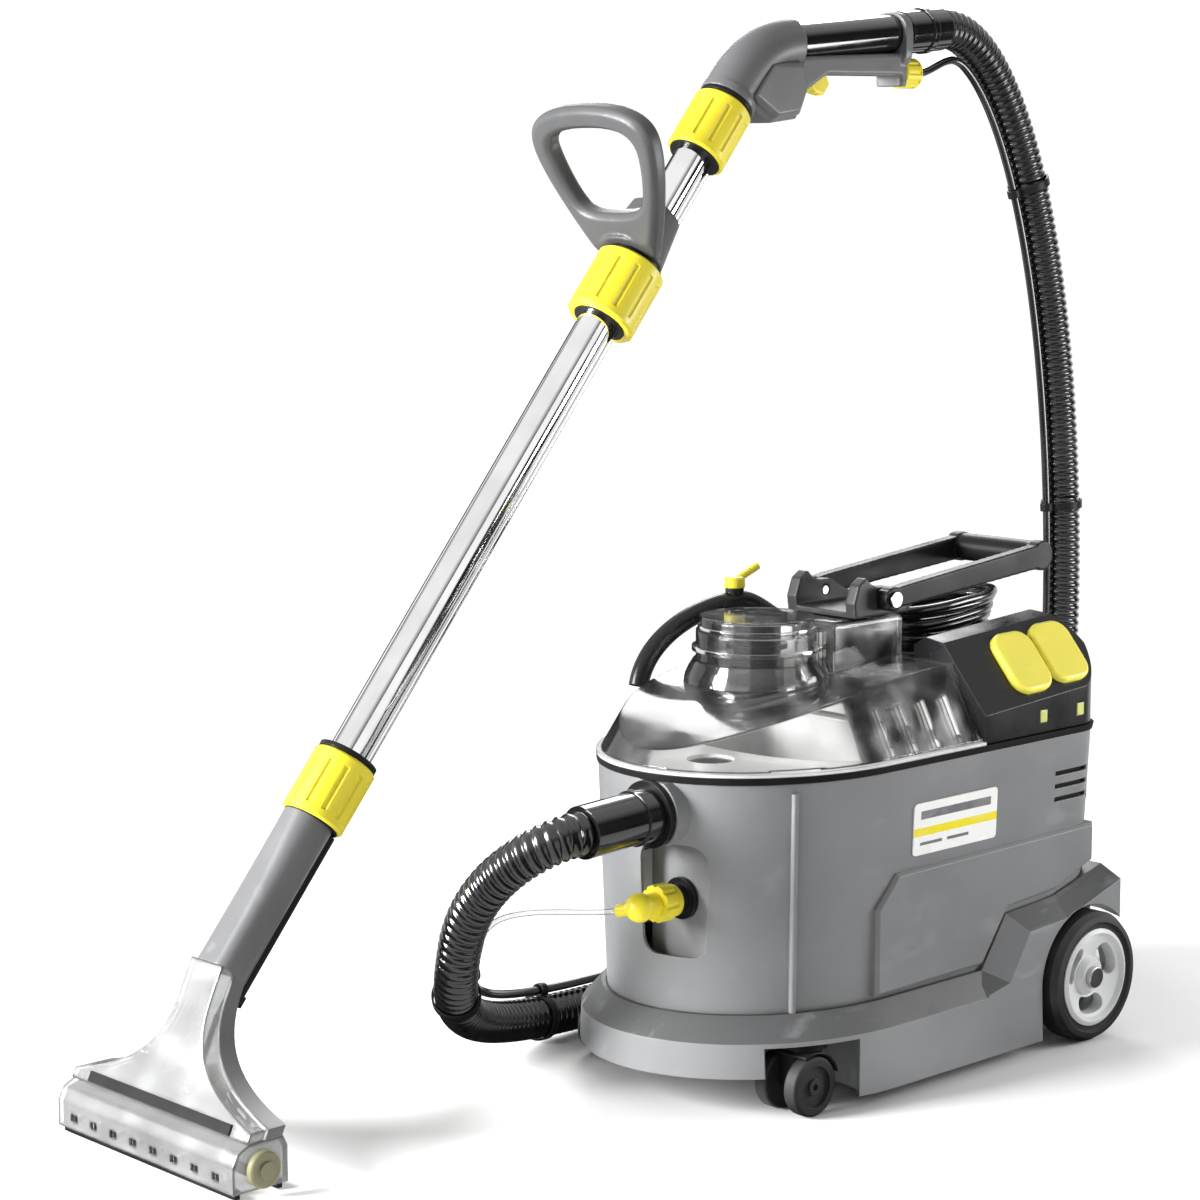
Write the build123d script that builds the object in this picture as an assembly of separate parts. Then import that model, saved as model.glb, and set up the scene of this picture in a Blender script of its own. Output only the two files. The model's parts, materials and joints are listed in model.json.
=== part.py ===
"""Spot extractor: a wheeled spray-extraction carpet cleaner with its suction hose and floor wand.

Frame: millimetres, +Z up, the machine's nose towards -Y, origin on the floor under the machine's middle.
Each function below makes one physical piece; the table at the end names and exports them.
"""

from build123d import *
import os
from math import atan, atan2, cos, degrees, radians, sin

# ---------------------------------------------------------------- driving dimensions
WALL = 3.0                      # moulded wall thickness
GAP = 0.6                       # clearance between separate mouldings
NOSE_START = -70.0              # Y where the straight sides turn into the half-ellipse nose

# grey tank housing, drafted so that it widens upwards
FOOT_Z, RIM_Z = 72.0, 284.0
FOOT_HALF, RIM_HALF = 128.0, 135.0
FOOT_FRONT, RIM_FRONT = -232.0, -241.0
FOOT_REAR, RIM_REAR = 226.0, 232.0
REAR_CORNER = 38.0

# skirt of the chassis
SKIRT_HALF, SKIRT_FRONT, SKIRT_REAR = 150.0, -256.0, 238.0
SKIRT_BOTTOM, SKIRT_EDGE_Z, SKIRT_TOP_Z = 12.0, 66.0, 86.0
NOSE_BOTTOM_Z, NOSE_STEP_Y = 36.0, -150.0
PLATE_Z, PLATE_T = 38.0, 3.0

# rear wheels
WHEEL_R, WHEEL_Y, WHEEL_IN, WHEEL_OUT = 60.0, 191.0, 131.0, 162.0
HUB_R, ARCH_R, WELL_X = 45.0, 66.0, 122.0
AXLE_R, AXLE_HALF = 6.0, 159.0
SPOKE_R, SPOKE_SWEEP, SPOKE_OPENING = 27.5, 42.0, 14.5

# front casters
CASTER_X, CASTER_Y, CASTER_TRAIL = 110.0, -148.0, 10.0
CASTER_WHEEL_R, CASTER_WHEEL_T, CASTER_PITCH = 26.0, 14.0, 34.0
CASTER_POCKET_R, CASTER_ROOF_Z = 48.0, 62.0
CASTER_STEM_R, CASTER_AXLE_R = 5.5, 3.0

# badge on the +X side
LABEL_Y, LABEL_Z, LABEL_W, LABEL_H, LABEL_T = 19.0, 228.0, 112.0, 46.0, 1.2

# rear hood with the switch consoles
HOOD_FRONT, HOOD_REAR, HOOD_TOP = 58.0, 232.0, 378.0
HOOD_SHOULDER = (84.0, 375.0)   # X and Z at the hood's front; the hood rises evenly towards the rear
HOOD_WAIST = (134.0, 316.0)
HOOD_RISE = 0.07                # rise per unit of length
RECESS_HALF, RECESS_Z = 50.0, 336.0
BUTTON_W, BUTTON_L, BUTTON_R = 50.0, 62.0, 16.0
BUTTON_Y = (134.5, 187.5)
BUTTON_PROUD, BUTTON_SUNK = 7.0, 7.0
CORD_Y, CORD_HALF_W, CORD_HALF_L, CORD_H, CORD_BUNDLE = 148.0, 38.0, 68.0, 62.0, 22.0

# clear recovery tank and its lid
TANK_Z, LID_Z = 290.5, 294.0
LID_REAR, LID_ROOF_Z = 55.0, 360.0
TUB_FRONT, TUB_BOTTOM = -136.0, 186.0
INLET_Y = -172.0
TOWER_X, TOWER_Y, TOWER_R, TOWER_TOP = -20.0, -72.0, 54.0, 402.0
DUCT_HALF, DUCT_FRONT, DUCT_TOP = 38.0, -34.0, 398.0
DUCT_MOUTH_Z = 315.0

BLEED_X, BLEED_Y = -96.0, -22.0

# carry handle
PIVOT_Y, PIVOT_Z, PIVOT_R = 27.0, 414.0, 4.0
EAR_X, EAR_T = 35.0, 12.0
CROSSBAR_Y, CROSSBAR_Z, CROSSBAR_R = 236.0, 434.0, 14.0

# hose port and solution outlet in the nose
PORT = (22.0, -236.0, 257.0)
PORT_TILT = 3.0
PORT_R = 24.0
OUTLET = (34.0, -216.0, 182.0)
OUTLET_R = 13.0
PLUG_ARM = Vector(-22, -4, -6)

# wand: one straight axis in the plane X = WAND_X, s measured up it from the lower union nut's middle
WAND_X, WAND_Y, WAND_Z, WAND_LEAN = -152.0, -450.0, 282.0, 50.6
TUBE_R, TUBE_T = 16.0, 1.5
SPRAY_R, SPRAY_OFFSET = 4.0, -22.0
NUT_R, NUT_HALF, NUT_OFFSET, CORE_R = 28.0, 32.0, -3.0, 24.5
MIDDLE_NUT_R, MIDDLE_NUT_HALF, MIDDLE_NUT_S = 32.0, 34.0, 520.0
UPPER_NUT_S = 705.0
NECK_END_S = -176.0
PIPE_R, PIPE_OFFSET = 7.0, -25.5
LIP_HALF, LIP_FRONT, LIP_REAR, LIP_TOP, LIP_BOTTOM = 121.0, -642.0, -589.0, 44.0, 6.0
LIP_HOLES, HOLE_PITCH, HOLE_HALF, HOLE_LOW, HOLE_HIGH = 8, 28.0, 4.5, 13.0, 19.0
FAN_FOOT_Y, FAN_TOP_Y, FAN_TOP_Z = -628.0, -579.0, 150.0
STRIP_HALF, STRIP_LOW, STRIP_HIGH, STRIP_T = 97.0, 1.5, 10.5, 1.6
BLADE_T, BLADE_TOP = 4.8, 9.0
CAP_Y, CAP_Z, CAP_R = -614.0, 22.0, 15.0
D_HANDLE_S, D_LEAN, D_HUB_START, D_HUB_END = 566.0, 24.0, 555.0, 606.0
D_BAR = 21.0                    # thickness of the D-handle's bar

# grip at the top of the wand
GRIP_START = Vector(WAND_X, 104.0, 905.0)
ELBOW_R = 24.0
CLIP_Y, VALVE_Z = 247.0, 881.0
GRIP_DIR = Vector(0, 153, 14).normalized()
CUFF_START = GRIP_START + GRIP_DIR * 154.0
CUFF_LENGTH = 61.0
TRIGGER_Y, TRIGGER_Z = 124.0, 880.0

HOSE_R, HOSE_BORE = 19.0, 16.0
SOLUTION_R, SLEEVE_R = 4.0, 6.5
HOSE_SPACING = HOSE_R + SOLUTION_R + 2.0
FLOOR_RUN_X, FLOOR_RUN_Z = -188.0, 22.0
TOP_SHARE = 0.84                # part of the last hose length that both hoses share


# ---------------------------------------------------------------- shared shapes
def blend_value(low, high, z):
    """Value at height z of a size that changes evenly from the housing's foot to its rim."""
    return low + (high - low) * (z - FOOT_Z) / (RIM_Z - FOOT_Z)


def d_face(half, front, rear, z, corner=REAR_CORNER):
    """Flat face at height z: half-ellipse nose towards -Y, straight sides, two round rear corners."""
    flank = rear - corner
    edges = [
        EllipticalCenterArc((0, NOSE_START), half, NOSE_START - front, start_angle=180, arc_size=180),
        Line((half, NOSE_START), (half, flank)),
        CenterArc((half - corner, flank), corner, 0, 90),
        Line((half - corner, rear), (corner - half, rear)),
        CenterArc((corner - half, flank), corner, 90, 90),
        Line((-half, flank), (-half, NOSE_START)),
    ]
    return Pos(0, 0, z) * make_face(edges)


def housing_face(z, inset=0.0):
    """The tank housing's outline at height z, drawn in by inset."""
    return d_face(
        blend_value(FOOT_HALF, RIM_HALF, z) - inset,
        blend_value(FOOT_FRONT, RIM_FRONT, z) + inset,
        blend_value(FOOT_REAR, RIM_REAR, z) - inset,
        z,
        REAR_CORNER - inset,
    )


def housing_block(low, high, inset=0.0):
    """Solid between two heights that follows the housing's drafted outline."""
    return loft([housing_face(low, inset), housing_face(high, inset)])


def block(x0, x1, y0, y1, z0, z1):
    """Box between two corners."""
    return Pos((x0 + x1) / 2, (y0 + y1) / 2, (z0 + z1) / 2) * Box(x1 - x0, y1 - y0, z1 - z0)


def rod(start, end, radius):
    """Round bar from one point to another."""
    a, b = Vector(*start), Vector(*end)
    return extrude(Plane(origin=a, z_dir=b - a) * Circle(radius), (b - a).length)


def tube(start, end, radius, bore):
    """Round tube from one point to another."""
    return rod(start, end, radius) - rod(start, end, bore)


def side_prism(points, x0, x1):
    """Side-view outline given as (Y, Z) points, extruded from X = x0 to X = x1."""
    face = make_face(Polyline(*[(x0, y, z) for y, z in points], close=True))
    return extrude(face, amount=x1 - x0, dir=(1, 0, 0))


def both_sides(solid):
    """A piece and its mirror image across the machine's middle plane."""
    return solid + mirror(solid, Plane.YZ)


def group(*solids):
    """Several separate solids kept in one node."""
    return Compound(children=[s for part in solids for s in part.solids()])


# ---------------------------------------------------------------- chassis and running gear
def haunch():
    """Raised rear fender on the +X side, flat outside with a sloped shoulder."""
    inner = [(50, 20), (50, 84), (60, 86), (92, 132), (160, 137), (230, 156), (230, 20)]
    outer = [(50, 20), (50, 68), (80, 74), (107, 116), (160, 119), (SKIRT_REAR, 143), (SKIRT_REAR, 20)]
    faces = [
        make_face(Polyline(*[(x, y, z) for y, z in points], close=True))
        for x, points in ((RIM_HALF - 2, inner), (SKIRT_HALF, outer))
    ]
    return loft(faces) + side_prism(inner, 112.0, RIM_HALF - 2)


def chassis():
    """Skirt moulding that carries the wheels, the casters and the tank housing."""
    skirt = loft([
        d_face(SKIRT_HALF + 2, SKIRT_FRONT - 2, SKIRT_REAR, SKIRT_BOTTOM),
        d_face(SKIRT_HALF, SKIRT_FRONT, SKIRT_REAR, SKIRT_EDGE_Z),
    ])
    shoulder = loft([
        d_face(SKIRT_HALF, SKIRT_FRONT, SKIRT_REAR, SKIRT_EDGE_Z),
        d_face(FOOT_HALF + 5, FOOT_FRONT - 6, FOOT_REAR + 5, SKIRT_TOP_Z),
    ])
    body = skirt + shoulder + both_sides(haunch())
    body -= block(-200, 200, -300, NOSE_STEP_Y, 0, NOSE_BOTTOM_Z)

    cavity = loft([
        d_face(SKIRT_HALF - WALL, SKIRT_FRONT + WALL, SKIRT_REAR - WALL, 0),
        d_face(SKIRT_HALF - WALL, SKIRT_FRONT + WALL, SKIRT_REAR - WALL, SKIRT_EDGE_Z),
    ])
    wheel_well = block(WELL_X - WALL, 160, 112, 260, 0, 160)
    caster_well = Pos(CASTER_X, CASTER_Y, CASTER_ROOF_Z / 2 + 2) * Cylinder(
        CASTER_POCKET_R + WALL, CASTER_ROOF_Z + 4
    )
    cavity -= both_sides(wheel_well) + both_sides(caster_well)
    body -= cavity
    body -= housing_block(FOOT_Z, 170, -GAP)
    body -= housing_block(FOOT_Z - 10, FOOT_Z + 2, 10)
    arch = rod((WELL_X, WHEEL_Y, WHEEL_R), (200, WHEEL_Y, WHEEL_R), ARCH_R)
    arch += block(WELL_X, 200, WHEEL_Y - ARCH_R, WHEEL_Y + ARCH_R, 0, WHEEL_R)
    pocket = Pos(CASTER_X, CASTER_Y, CASTER_ROOF_Z / 2) * Cylinder(CASTER_POCKET_R, CASTER_ROOF_Z)
    stem_hole = rod((CASTER_X, CASTER_Y, 50), (CASTER_X, CASTER_Y, 80), CASTER_STEM_R + 0.08)
    body -= both_sides(arch) + both_sides(pocket) + both_sides(stem_hole)
    body -= rod((-200, WHEEL_Y, WHEEL_R), (200, WHEEL_Y, WHEEL_R), AXLE_R + 0.05)
    return body.solids().sort_by(SortBy.VOLUME)[-1]


def bottom_plate():
    """Flat cover under the chassis, cut away round the wheel and caster wells."""
    inset = WALL + GAP
    outline = d_face(SKIRT_HALF - inset, SKIRT_FRONT + inset, SKIRT_REAR - inset, PLATE_Z)
    plate = extrude(outline, PLATE_T)
    plate -= both_sides(block(WELL_X - WALL - GAP, 200, 111, 260, 0, 100))
    plate -= both_sides(
        Pos(CASTER_X, CASTER_Y, PLATE_Z) * Cylinder(CASTER_POCKET_R + WALL + GAP, 20)
    )
    return plate


def rear_axle():
    """Steel rod through both wheel wells, with a pressed cap outside each wheel."""
    axle = rod((-AXLE_HALF, WHEEL_Y, WHEEL_R), (AXLE_HALF, WHEEL_Y, WHEEL_R), AXLE_R)
    out = WHEEL_OUT - 5.8
    cap = rod((out, WHEEL_Y, WHEEL_R), (out + 5, WHEEL_Y, WHEEL_R), 10.0)
    cap = fillet(cap.edges().group_by(Axis.X)[-1], 1.5)
    cap -= rod((out - 1, WHEEL_Y, WHEEL_R), (AXLE_HALF, WHEEL_Y, WHEEL_R), AXLE_R)
    return group(axle, cap, mirror(cap, Plane.YZ))


def wheel_section(points, side):
    """Turns a half-section of (radius, distance along the axle) points round the rear axle."""
    profile = make_face(Polyline(*[(side * x, WHEEL_Y, WHEEL_R + r) for r, x in points], close=True))
    return revolve(profile, Axis((0, WHEEL_Y, WHEEL_R), (1, 0, 0)))


def wheel_tyre(side):
    """Rubber tyre with a stepped outer wall."""
    inner, outer = WHEEL_IN, WHEEL_OUT
    return wheel_section(
        [
            (HUB_R, inner + 3), (WHEEL_R - 5, inner), (WHEEL_R, inner + 5), (WHEEL_R, outer - 8),
            (WHEEL_R - 4, outer - 2), (WHEEL_R - 9, outer - 1), (WHEEL_R - 10, outer - 4), (HUB_R, outer - 4),
        ],
        side,
    )


def wheel_hub(side):
    """Dished plastic wheel centre with three oval openings."""
    inner, outer = WHEEL_IN, WHEEL_OUT
    web = outer - 14
    hub = wheel_section(
        [
            (AXLE_R + 0.05, inner), (14, inner), (14, web - 4), (36, web - 4), (38, inner + 4),
            (HUB_R, inner + 4), (HUB_R, outer - 3), (HUB_R - 4, outer - 1), (HUB_R - 7, outer - 5),
            (18, web + 2), (14, outer - 6), (AXLE_R + 0.05, outer - 6),
        ],
        side,
    )
    across = Plane(origin=(0, WHEEL_Y, WHEEL_R), x_dir=(0, 1, 0), z_dir=(1, 0, 0))
    for turn in (30, 150, 270):
        opening = SlotArc(CenterArc((0, 0), SPOKE_R, turn - SPOKE_SWEEP / 2, SPOKE_SWEEP), SPOKE_OPENING)
        hub -= across * extrude(opening, amount=200, both=True)
    return hub


def caster_fork(side):
    """Swivel horn with its stem and hood, and the steel axle through its boss."""
    x, y, axle_y = side * CASTER_X, CASTER_Y, CASTER_Y - CASTER_TRAIL
    web = (CASTER_PITCH - CASTER_WHEEL_T) / 2 - 1.0
    axle_z = CASTER_WHEEL_R
    fork = rod((x, y, 56), (x, y, 60.5), 21.0)
    fork += rod((x, y, 60), (x, y, FOOT_Z - 1), CASTER_STEM_R)
    fork += block(x - web, x + web, axle_y - 9, y + 14, axle_z, 57)
    fork += rod((x - web, axle_y, axle_z), (x + web, axle_y, axle_z), 9.0)
    hood = rod((x - 24, axle_y, axle_z), (x + 24, axle_y, axle_z), CASTER_WHEEL_R + 4)
    hood -= rod((x - 30, axle_y, axle_z), (x + 30, axle_y, axle_z), CASTER_WHEEL_R + 1.5)
    hood &= block(x - 30, x + 30, axle_y - 12, axle_y + 40, axle_z + 8, 60)
    fork += hood
    fork -= rod((x - 30, axle_y, axle_z), (x + 30, axle_y, axle_z), CASTER_AXLE_R)
    half = (CASTER_PITCH + CASTER_WHEEL_T) / 2 - 1
    return group(fork, rod((x - half, axle_y, axle_z), (x + half, axle_y, axle_z), CASTER_AXLE_R))


def caster_wheels(side):
    """Two small wheels on one caster, dished on their outer faces."""
    y, z = CASTER_Y - CASTER_TRAIL, CASTER_WHEEL_R
    wheels = []
    for out in (-1, 1):
        middle = side * CASTER_X + out * CASTER_PITCH / 2
        a, b = middle - CASTER_WHEEL_T / 2, middle + CASTER_WHEEL_T / 2
        wheel = rod((a, y, z), (b, y, z), CASTER_WHEEL_R)
        wheel = fillet(wheel.edges(), 3.0)
        face = b if out > 0 else a
        wheel -= tube((face, y, z), (face - out * 3, y, z), 18.0, 7.0)
        wheels.append(wheel - rod((a, y, z), (b, y, z), CASTER_AXLE_R + 0.05))
    return group(*wheels)


# ---------------------------------------------------------------- housing
def port_plane(distance):
    """Plane across the hose port's axis, at a distance out of the nose."""
    a = radians(PORT_TILT)
    out = Vector(0, -cos(a), -sin(a))
    return Plane(origin=Vector(*PORT) + out * distance, z_dir=out, x_dir=(1, 0, 0))


def port_disc(start, end, radius, bore=None):
    """Cylinder or ring on the hose port's axis."""
    disc = extrude(port_plane(start) * Circle(radius), end - start)
    return disc if bore is None else disc - extrude(port_plane(start) * Circle(bore), end - start)


def louvre(z):
    """One horizontal vent slot through the +X side wall."""
    return block(110, 160, 158, 206, z - 2.2, z + 2.2)


def tank_housing():
    """Grey outer shell: drafted D-shaped tub with raised side panels, port boss and outlet pocket."""
    outer = housing_block(FOOT_Z, RIM_Z)
    panel = [(-84, 90), (-84, 166), (-58, 194), (214, 198), (214, 162), (160, 143), (92, 138), (58, 92)]
    pad = side_prism(panel, 100, RIM_HALF + 1.5)
    pad = chamfer(pad.faces().sort_by(Axis.X)[-1].edges(), 3.0)
    rib_foot, rib_head = (108.5, -160.5), (114.5, -165.5)
    rib = loft([
        Pos(*rib_foot, SKIRT_TOP_Z) * Circle(3.0),
        Pos(*rib_head, RIM_Z - 8) * Circle(3.0),
    ])
    body = outer + both_sides(pad + rib)
    body += port_disc(-30, 6, PORT_R + 7)
    body -= housing_block(FOOT_Z + WALL, RIM_Z + 0.01, WALL)
    wall = block(OUTLET[0] - 38, OUTLET[0] + 38, OUTLET[1], OUTLET[1] + 5, 125, 236)
    body += wall & housing_block(FOOT_Z, RIM_Z)
    pocket = Pos(OUTLET[0], OUTLET[1] - 30, OUTLET[2]) * Box(60, 60, 98)
    pocket = fillet(pocket.edges().filter_by(Axis.Y), 16)
    body -= pocket
    body -= rod((OUTLET[0], -260, OUTLET[2]), (OUTLET[0], -190, OUTLET[2]), OUTLET_R + 0.2)
    body -= port_disc(-60, 20, PORT_R + 0.3) + block(-200, 200, -300, 300, RIM_Z, RIM_Z + 20)
    for z in (226, 238, 250):
        body -= both_sides(louvre(z))
    return body.solids().sort_by(SortBy.VOLUME)[-1]


def rim_seal():
    """Black gasket that lies on the housing's rim."""
    ring = loft([housing_face(RIM_Z + GAP, -1.5), d_face(137, -243, 234, RIM_Z + 6)])
    return ring - loft([housing_face(RIM_Z, 7), d_face(128, -234, 225, RIM_Z + 7)])


def hose_socket():
    """Black flanged bush pressed into the port boss, and the bent duct behind it up to the tank flange."""
    bush = port_disc(-26, 12, PORT_R) + port_disc(6.3, 12, PORT_R + 5)
    bush -= port_disc(-27, 13, PORT_R - 3.5)
    start = port_plane(-26).origin
    top = Vector(PORT[0], INLET_Y, TANK_Z)
    path = Bezier(start, start - port_plane(0).z_dir * 24, top - Vector(0, 0, 22), top)
    section = Plane(origin=start, z_dir=path % 0)
    elbow = sweep(section * (Circle(PORT_R - 4) - Circle(PORT_R - 7)), path=path.edge())
    return group(bush, elbow)


def outlet_socket():
    """Black threaded socket of the solution outlet, through the pocket's wall."""
    x, y, z = OUTLET
    socket = rod((x, y + 14, z), (x, y - 12, z), OUTLET_R) + rod((x, y - 1, z), (x, y - 5, z), OUTLET_R + 5)
    return socket - rod((x, y + 20, z), (x, y - 20, z), 5.0)


def outlet_coupling():
    """Yellow plug of the solution hose, with its bent hose barb."""
    x, y, z = OUTLET
    body = rod((x, y - 12.5, z), (x, y - 44, z), 10.0) + rod((x, y - 13, z), (x, y - 20, z), 14.0)
    body += rod((x, y - 8, z), (x, y - 13, z), 4.5)
    body += Pos(x, y - 52, z) * Sphere(12.5)
    return body + rod((x, y - 52, z), tuple(plug_end()), 5.5)


def plug_end():
    """Where the solution hose leaves the outlet plug."""
    return Vector(OUTLET[0], OUTLET[1] - 52, OUTLET[2]) + PLUG_ARM


def coupling_collar():
    """Yellow ribbed sleeve that slides back to free the plug."""
    x, y, z = OUTLET
    sleeve = tube((x, y - 20.5, z), (x, y - 34, z), 16.0, 10.08)
    for turn in range(0, 360, 45):
        across, up = 17 * cos(radians(turn)), 17 * sin(radians(turn))
        sleeve -= rod((x + across, y - 20, z + up), (x + across, y - 35, z + up), 2.5)
    return sleeve


def label_plate():
    """Blank rectangular badge on the +X side."""
    x = blend_value(FOOT_HALF, RIM_HALF, LABEL_Z)
    plate = Box(LABEL_T, LABEL_W, LABEL_H)
    plate = fillet(plate.edges().filter_by(Axis.X), 4.0)
    draft = atan2(RIM_HALF - FOOT_HALF, RIM_Z - FOOT_Z)
    return Pos(x + LABEL_T / 2 + 0.02, LABEL_Y, LABEL_Z) * Rot(0, degrees(draft), 0) * plate


# ---------------------------------------------------------------- water system inside
def fresh_water_tank():
    """Translucent lower tank for the cleaning solution."""
    trim = block(-200, 200, -300, 44, 0, 400)
    outer = housing_block(FOOT_Z + WALL + 1, TUB_BOTTOM - 6, WALL + 4) & trim
    inner = housing_block(FOOT_Z + WALL + 4, TUB_BOTTOM - 9, WALL + 7) & block(-200, 200, -300, 41, 0, 400)
    tank = outer - inner
    tank -= block(OUTLET[0] - 42, OUTLET[0] + 42, -240, OUTLET[1] + 24, 60, 240)
    filler = rod((-60, 10, 160), (-60, 10, 190), 14)
    x, y, _ = OUTLET
    closing = block(x - 45, x + 45, y + 24, y + 27, FOOT_Z + 4, TUB_BOTTOM - 6)
    return (tank + (closing & outer)) - filler


def recovery_tank():
    """Clear removable tub with a flange that rests on the rim gasket."""
    tub = loft([d_face(118, TUB_FRONT + 6, 40, TUB_BOTTOM, 20), d_face(124, TUB_FRONT, 46, TANK_Z, 20)])
    hollow = loft([
        d_face(115.5, TUB_FRONT + 8.5, 37.5, TUB_BOTTOM + 2.5, 18),
        d_face(121.5, TUB_FRONT + 2.5, 43.5, TANK_Z + 3, 18),
    ])
    flange = extrude(d_face(137, -243, 234, TANK_Z) & Pos(0, -122, TANK_Z) * Rectangle(400, 356), 3.0)
    opening = extrude(d_face(121.5, TUB_FRONT + 2.5, 43.5, TANK_Z - 1, 18), 6.0)
    tank = tub + (flange - opening) - hollow
    return tank - rod((PORT[0], INLET_Y, 280), (PORT[0], INLET_Y, 300), PORT_R - 3.5)


def lid_shell(inset, top_shift):
    """Solid block with the lid's outer form, drawn in by inset."""
    base = d_face(133 - inset, -239 + inset, 232, LID_Z)
    top = d_face(94 - inset, -196 + inset, 196, 366)
    form = loft([base, top])
    rear, low = LID_REAR - inset, LID_Z - 20
    front, crown = (-200, -262, 290 - top_shift), (-200, rear, LID_ROOF_Z - top_shift)
    roof = make_face([
        Line((-200, rear, low), (-200, -262, low)),
        Line((-200, -262, low), front),
        Bezier(front, (-200, -205, 330 - top_shift), (-200, -110, 352 - top_shift), crown),
        Line(crown, (-200, rear, low)),
    ])
    return form & extrude(roof, amount=400, dir=(1, 0, 0))


def tank_lid():
    """Clear domed lid with the separator tower and the suction duct moulded on."""
    foot = TOWER_TOP - 12
    tower = rod((TOWER_X, TOWER_Y, LID_Z + 20), (TOWER_X, TOWER_Y, foot), TOWER_R)
    tower += rod((TOWER_X, TOWER_Y, foot), (TOWER_X, TOWER_Y, TOWER_TOP), TOWER_R - 4)
    duct = block(-DUCT_HALF, DUCT_HALF, DUCT_FRONT, LID_REAR, LID_Z + 30, DUCT_TOP)
    duct = fillet(duct.edges().group_by(Axis.Z)[-1], 6)
    solid = lid_shell(0, 0) + tower + duct
    tower_hollow = rod((TOWER_X, TOWER_Y, LID_Z - 2), (TOWER_X, TOWER_Y, foot - 2.5), TOWER_R - 2.5)
    tower_hollow += rod((TOWER_X, TOWER_Y, foot - 4), (TOWER_X, TOWER_Y, TOWER_TOP - 2.5), TOWER_R - 6.5)
    half = DUCT_HALF - 2.5
    duct_hollow = block(-half, half, DUCT_FRONT + 2.5, LID_REAR - 2.5, LID_Z, DUCT_TOP - 2.5)
    mouth = rod((0, LID_REAR - 5, DUCT_MOUTH_Z), (0, LID_REAR + 1, DUCT_MOUTH_Z), 14)
    hollow = (lid_shell(2.5, 2.5) + block(-120, 120, -180, 44, LID_Z - 6, LID_Z + 1)) & block(
        -200, 200, -300, LID_REAR - 2.5, LID_Z - 8, 420
    )
    lid = solid - hollow - tower_hollow - duct_hollow - mouth
    rib = block(98, 131, -2, 2, LID_Z + 1, LID_Z + 40) & lid_shell(1, 1)
    for y in (-60, -30, 0, 30):
        lid += both_sides(Pos(0, y, 0) * rib & lid_shell(1, 1))
    return lid.solids().sort_by(SortBy.VOLUME)[-1]


def float_cage():
    """Black slotted basket that hangs in the tower and guides the float."""
    top, bottom = TOWER_TOP - 16, 322.0
    cage = tube((TOWER_X, TOWER_Y, bottom), (TOWER_X, TOWER_Y, TOWER_TOP - 2.6), 21.0, 18.5)
    cage += rod((TOWER_X, TOWER_Y, bottom), (TOWER_X, TOWER_Y, bottom + 3), 21.0)
    cage += tube((TOWER_X, TOWER_Y, top - 12), (TOWER_X, TOWER_Y, top - 8), 27.0, 12.0)
    for turn in range(0, 180, 45):
        slot = Pos(TOWER_X, TOWER_Y, bottom + 25) * Rot(0, 0, turn) * Box(60, 7, 30)
        cage -= slot - rod((TOWER_X, TOWER_Y, 300), (TOWER_X, TOWER_Y, 420), 17.0)
    return cage


def float_ball():
    """Hollow float that rises and shuts the air path when the tank is full."""
    ball = Pos(TOWER_X, TOWER_Y, 340) * Sphere(14.0)
    return ball - Pos(TOWER_X, TOWER_Y, 340) * Sphere(12.5)


def bleed_hose():
    """Black bent air pipe along the lid's far shoulder, into the suction duct, with a valve seat on top."""
    foot, crest = Vector(-112, -128, 334), Vector(BLEED_X, BLEED_Y, 402)
    heading = Vector(8, 40, 3).normalized()
    rise = Bezier(foot, foot + Vector(-4, 12, 40), crest - heading * 46, crest)
    fall = Bezier(crest, crest + heading * 26, (-78, 16, 374), (-DUCT_HALF - 0.6, 16, 374))
    path = Wire([rise, fall])
    pipe = sweep(Plane(origin=path @ 0, z_dir=path % 0) * (Circle(9) - Circle(6.5)), path=path)
    seat = rod((BLEED_X, BLEED_Y, 408), (BLEED_X, BLEED_Y, 414), 8.5)
    return pipe + seat


def bleed_valve_lever():
    """Yellow cap and lever on the valve seat."""
    cap = rod((BLEED_X, BLEED_Y, 414.1), (BLEED_X, BLEED_Y, 424), 9.5)
    cap = fillet(cap.edges().group_by(Axis.Z)[-1], 2.0)
    return cap + rod((BLEED_X, BLEED_Y, 420), (BLEED_X + 4, BLEED_Y + 26, 432), 3.4)


def vacuum_motor():
    """Sealed motor can and fan housing of the suction turbine."""
    can = rod((0, 140, 92), (0, 140, 168), 42.0)
    casing = tube((0, 140, 168), (0, 140, 226), 62.0, 59.0)
    casing += tube((0, 140, 168), (0, 140, 171), 60.0, 5.08) + tube((0, 140, 223), (0, 140, 226), 60.0, 18.0)
    return can + rod((0, 140, 165), (0, 140, 168.5), 42.0) + casing - rod((0, 140, 150), (0, 140, 175), 5.08)


def fan_impeller():
    """Turbine wheel on the motor's shaft: two discs with blades between them."""
    wheel = rod((0, 140, 180), (0, 140, 183), 54.0) + rod((0, 140, 152), (0, 140, 215), 5.0)
    for turn in range(0, 360, 45):
        blade = Pos(0, 140, 195) * Rot(0, 0, turn) * Pos(32, 0, 0) * Rot(0, 0, 25) * Box(36, 2, 26)
        wheel += blade
    return wheel + tube((0, 140, 206), (0, 140, 209), 54.0, 20.0)


def solution_pump():
    """Piston pump that feeds the spray nozzle."""
    body = block(-96, -62, 88, 150, 90, 130) + rod((-79, 150, 110), (-79, 176, 110), 15)
    return body + rod((-79, 88, 110), (-79, 70, 110), 6)


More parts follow.
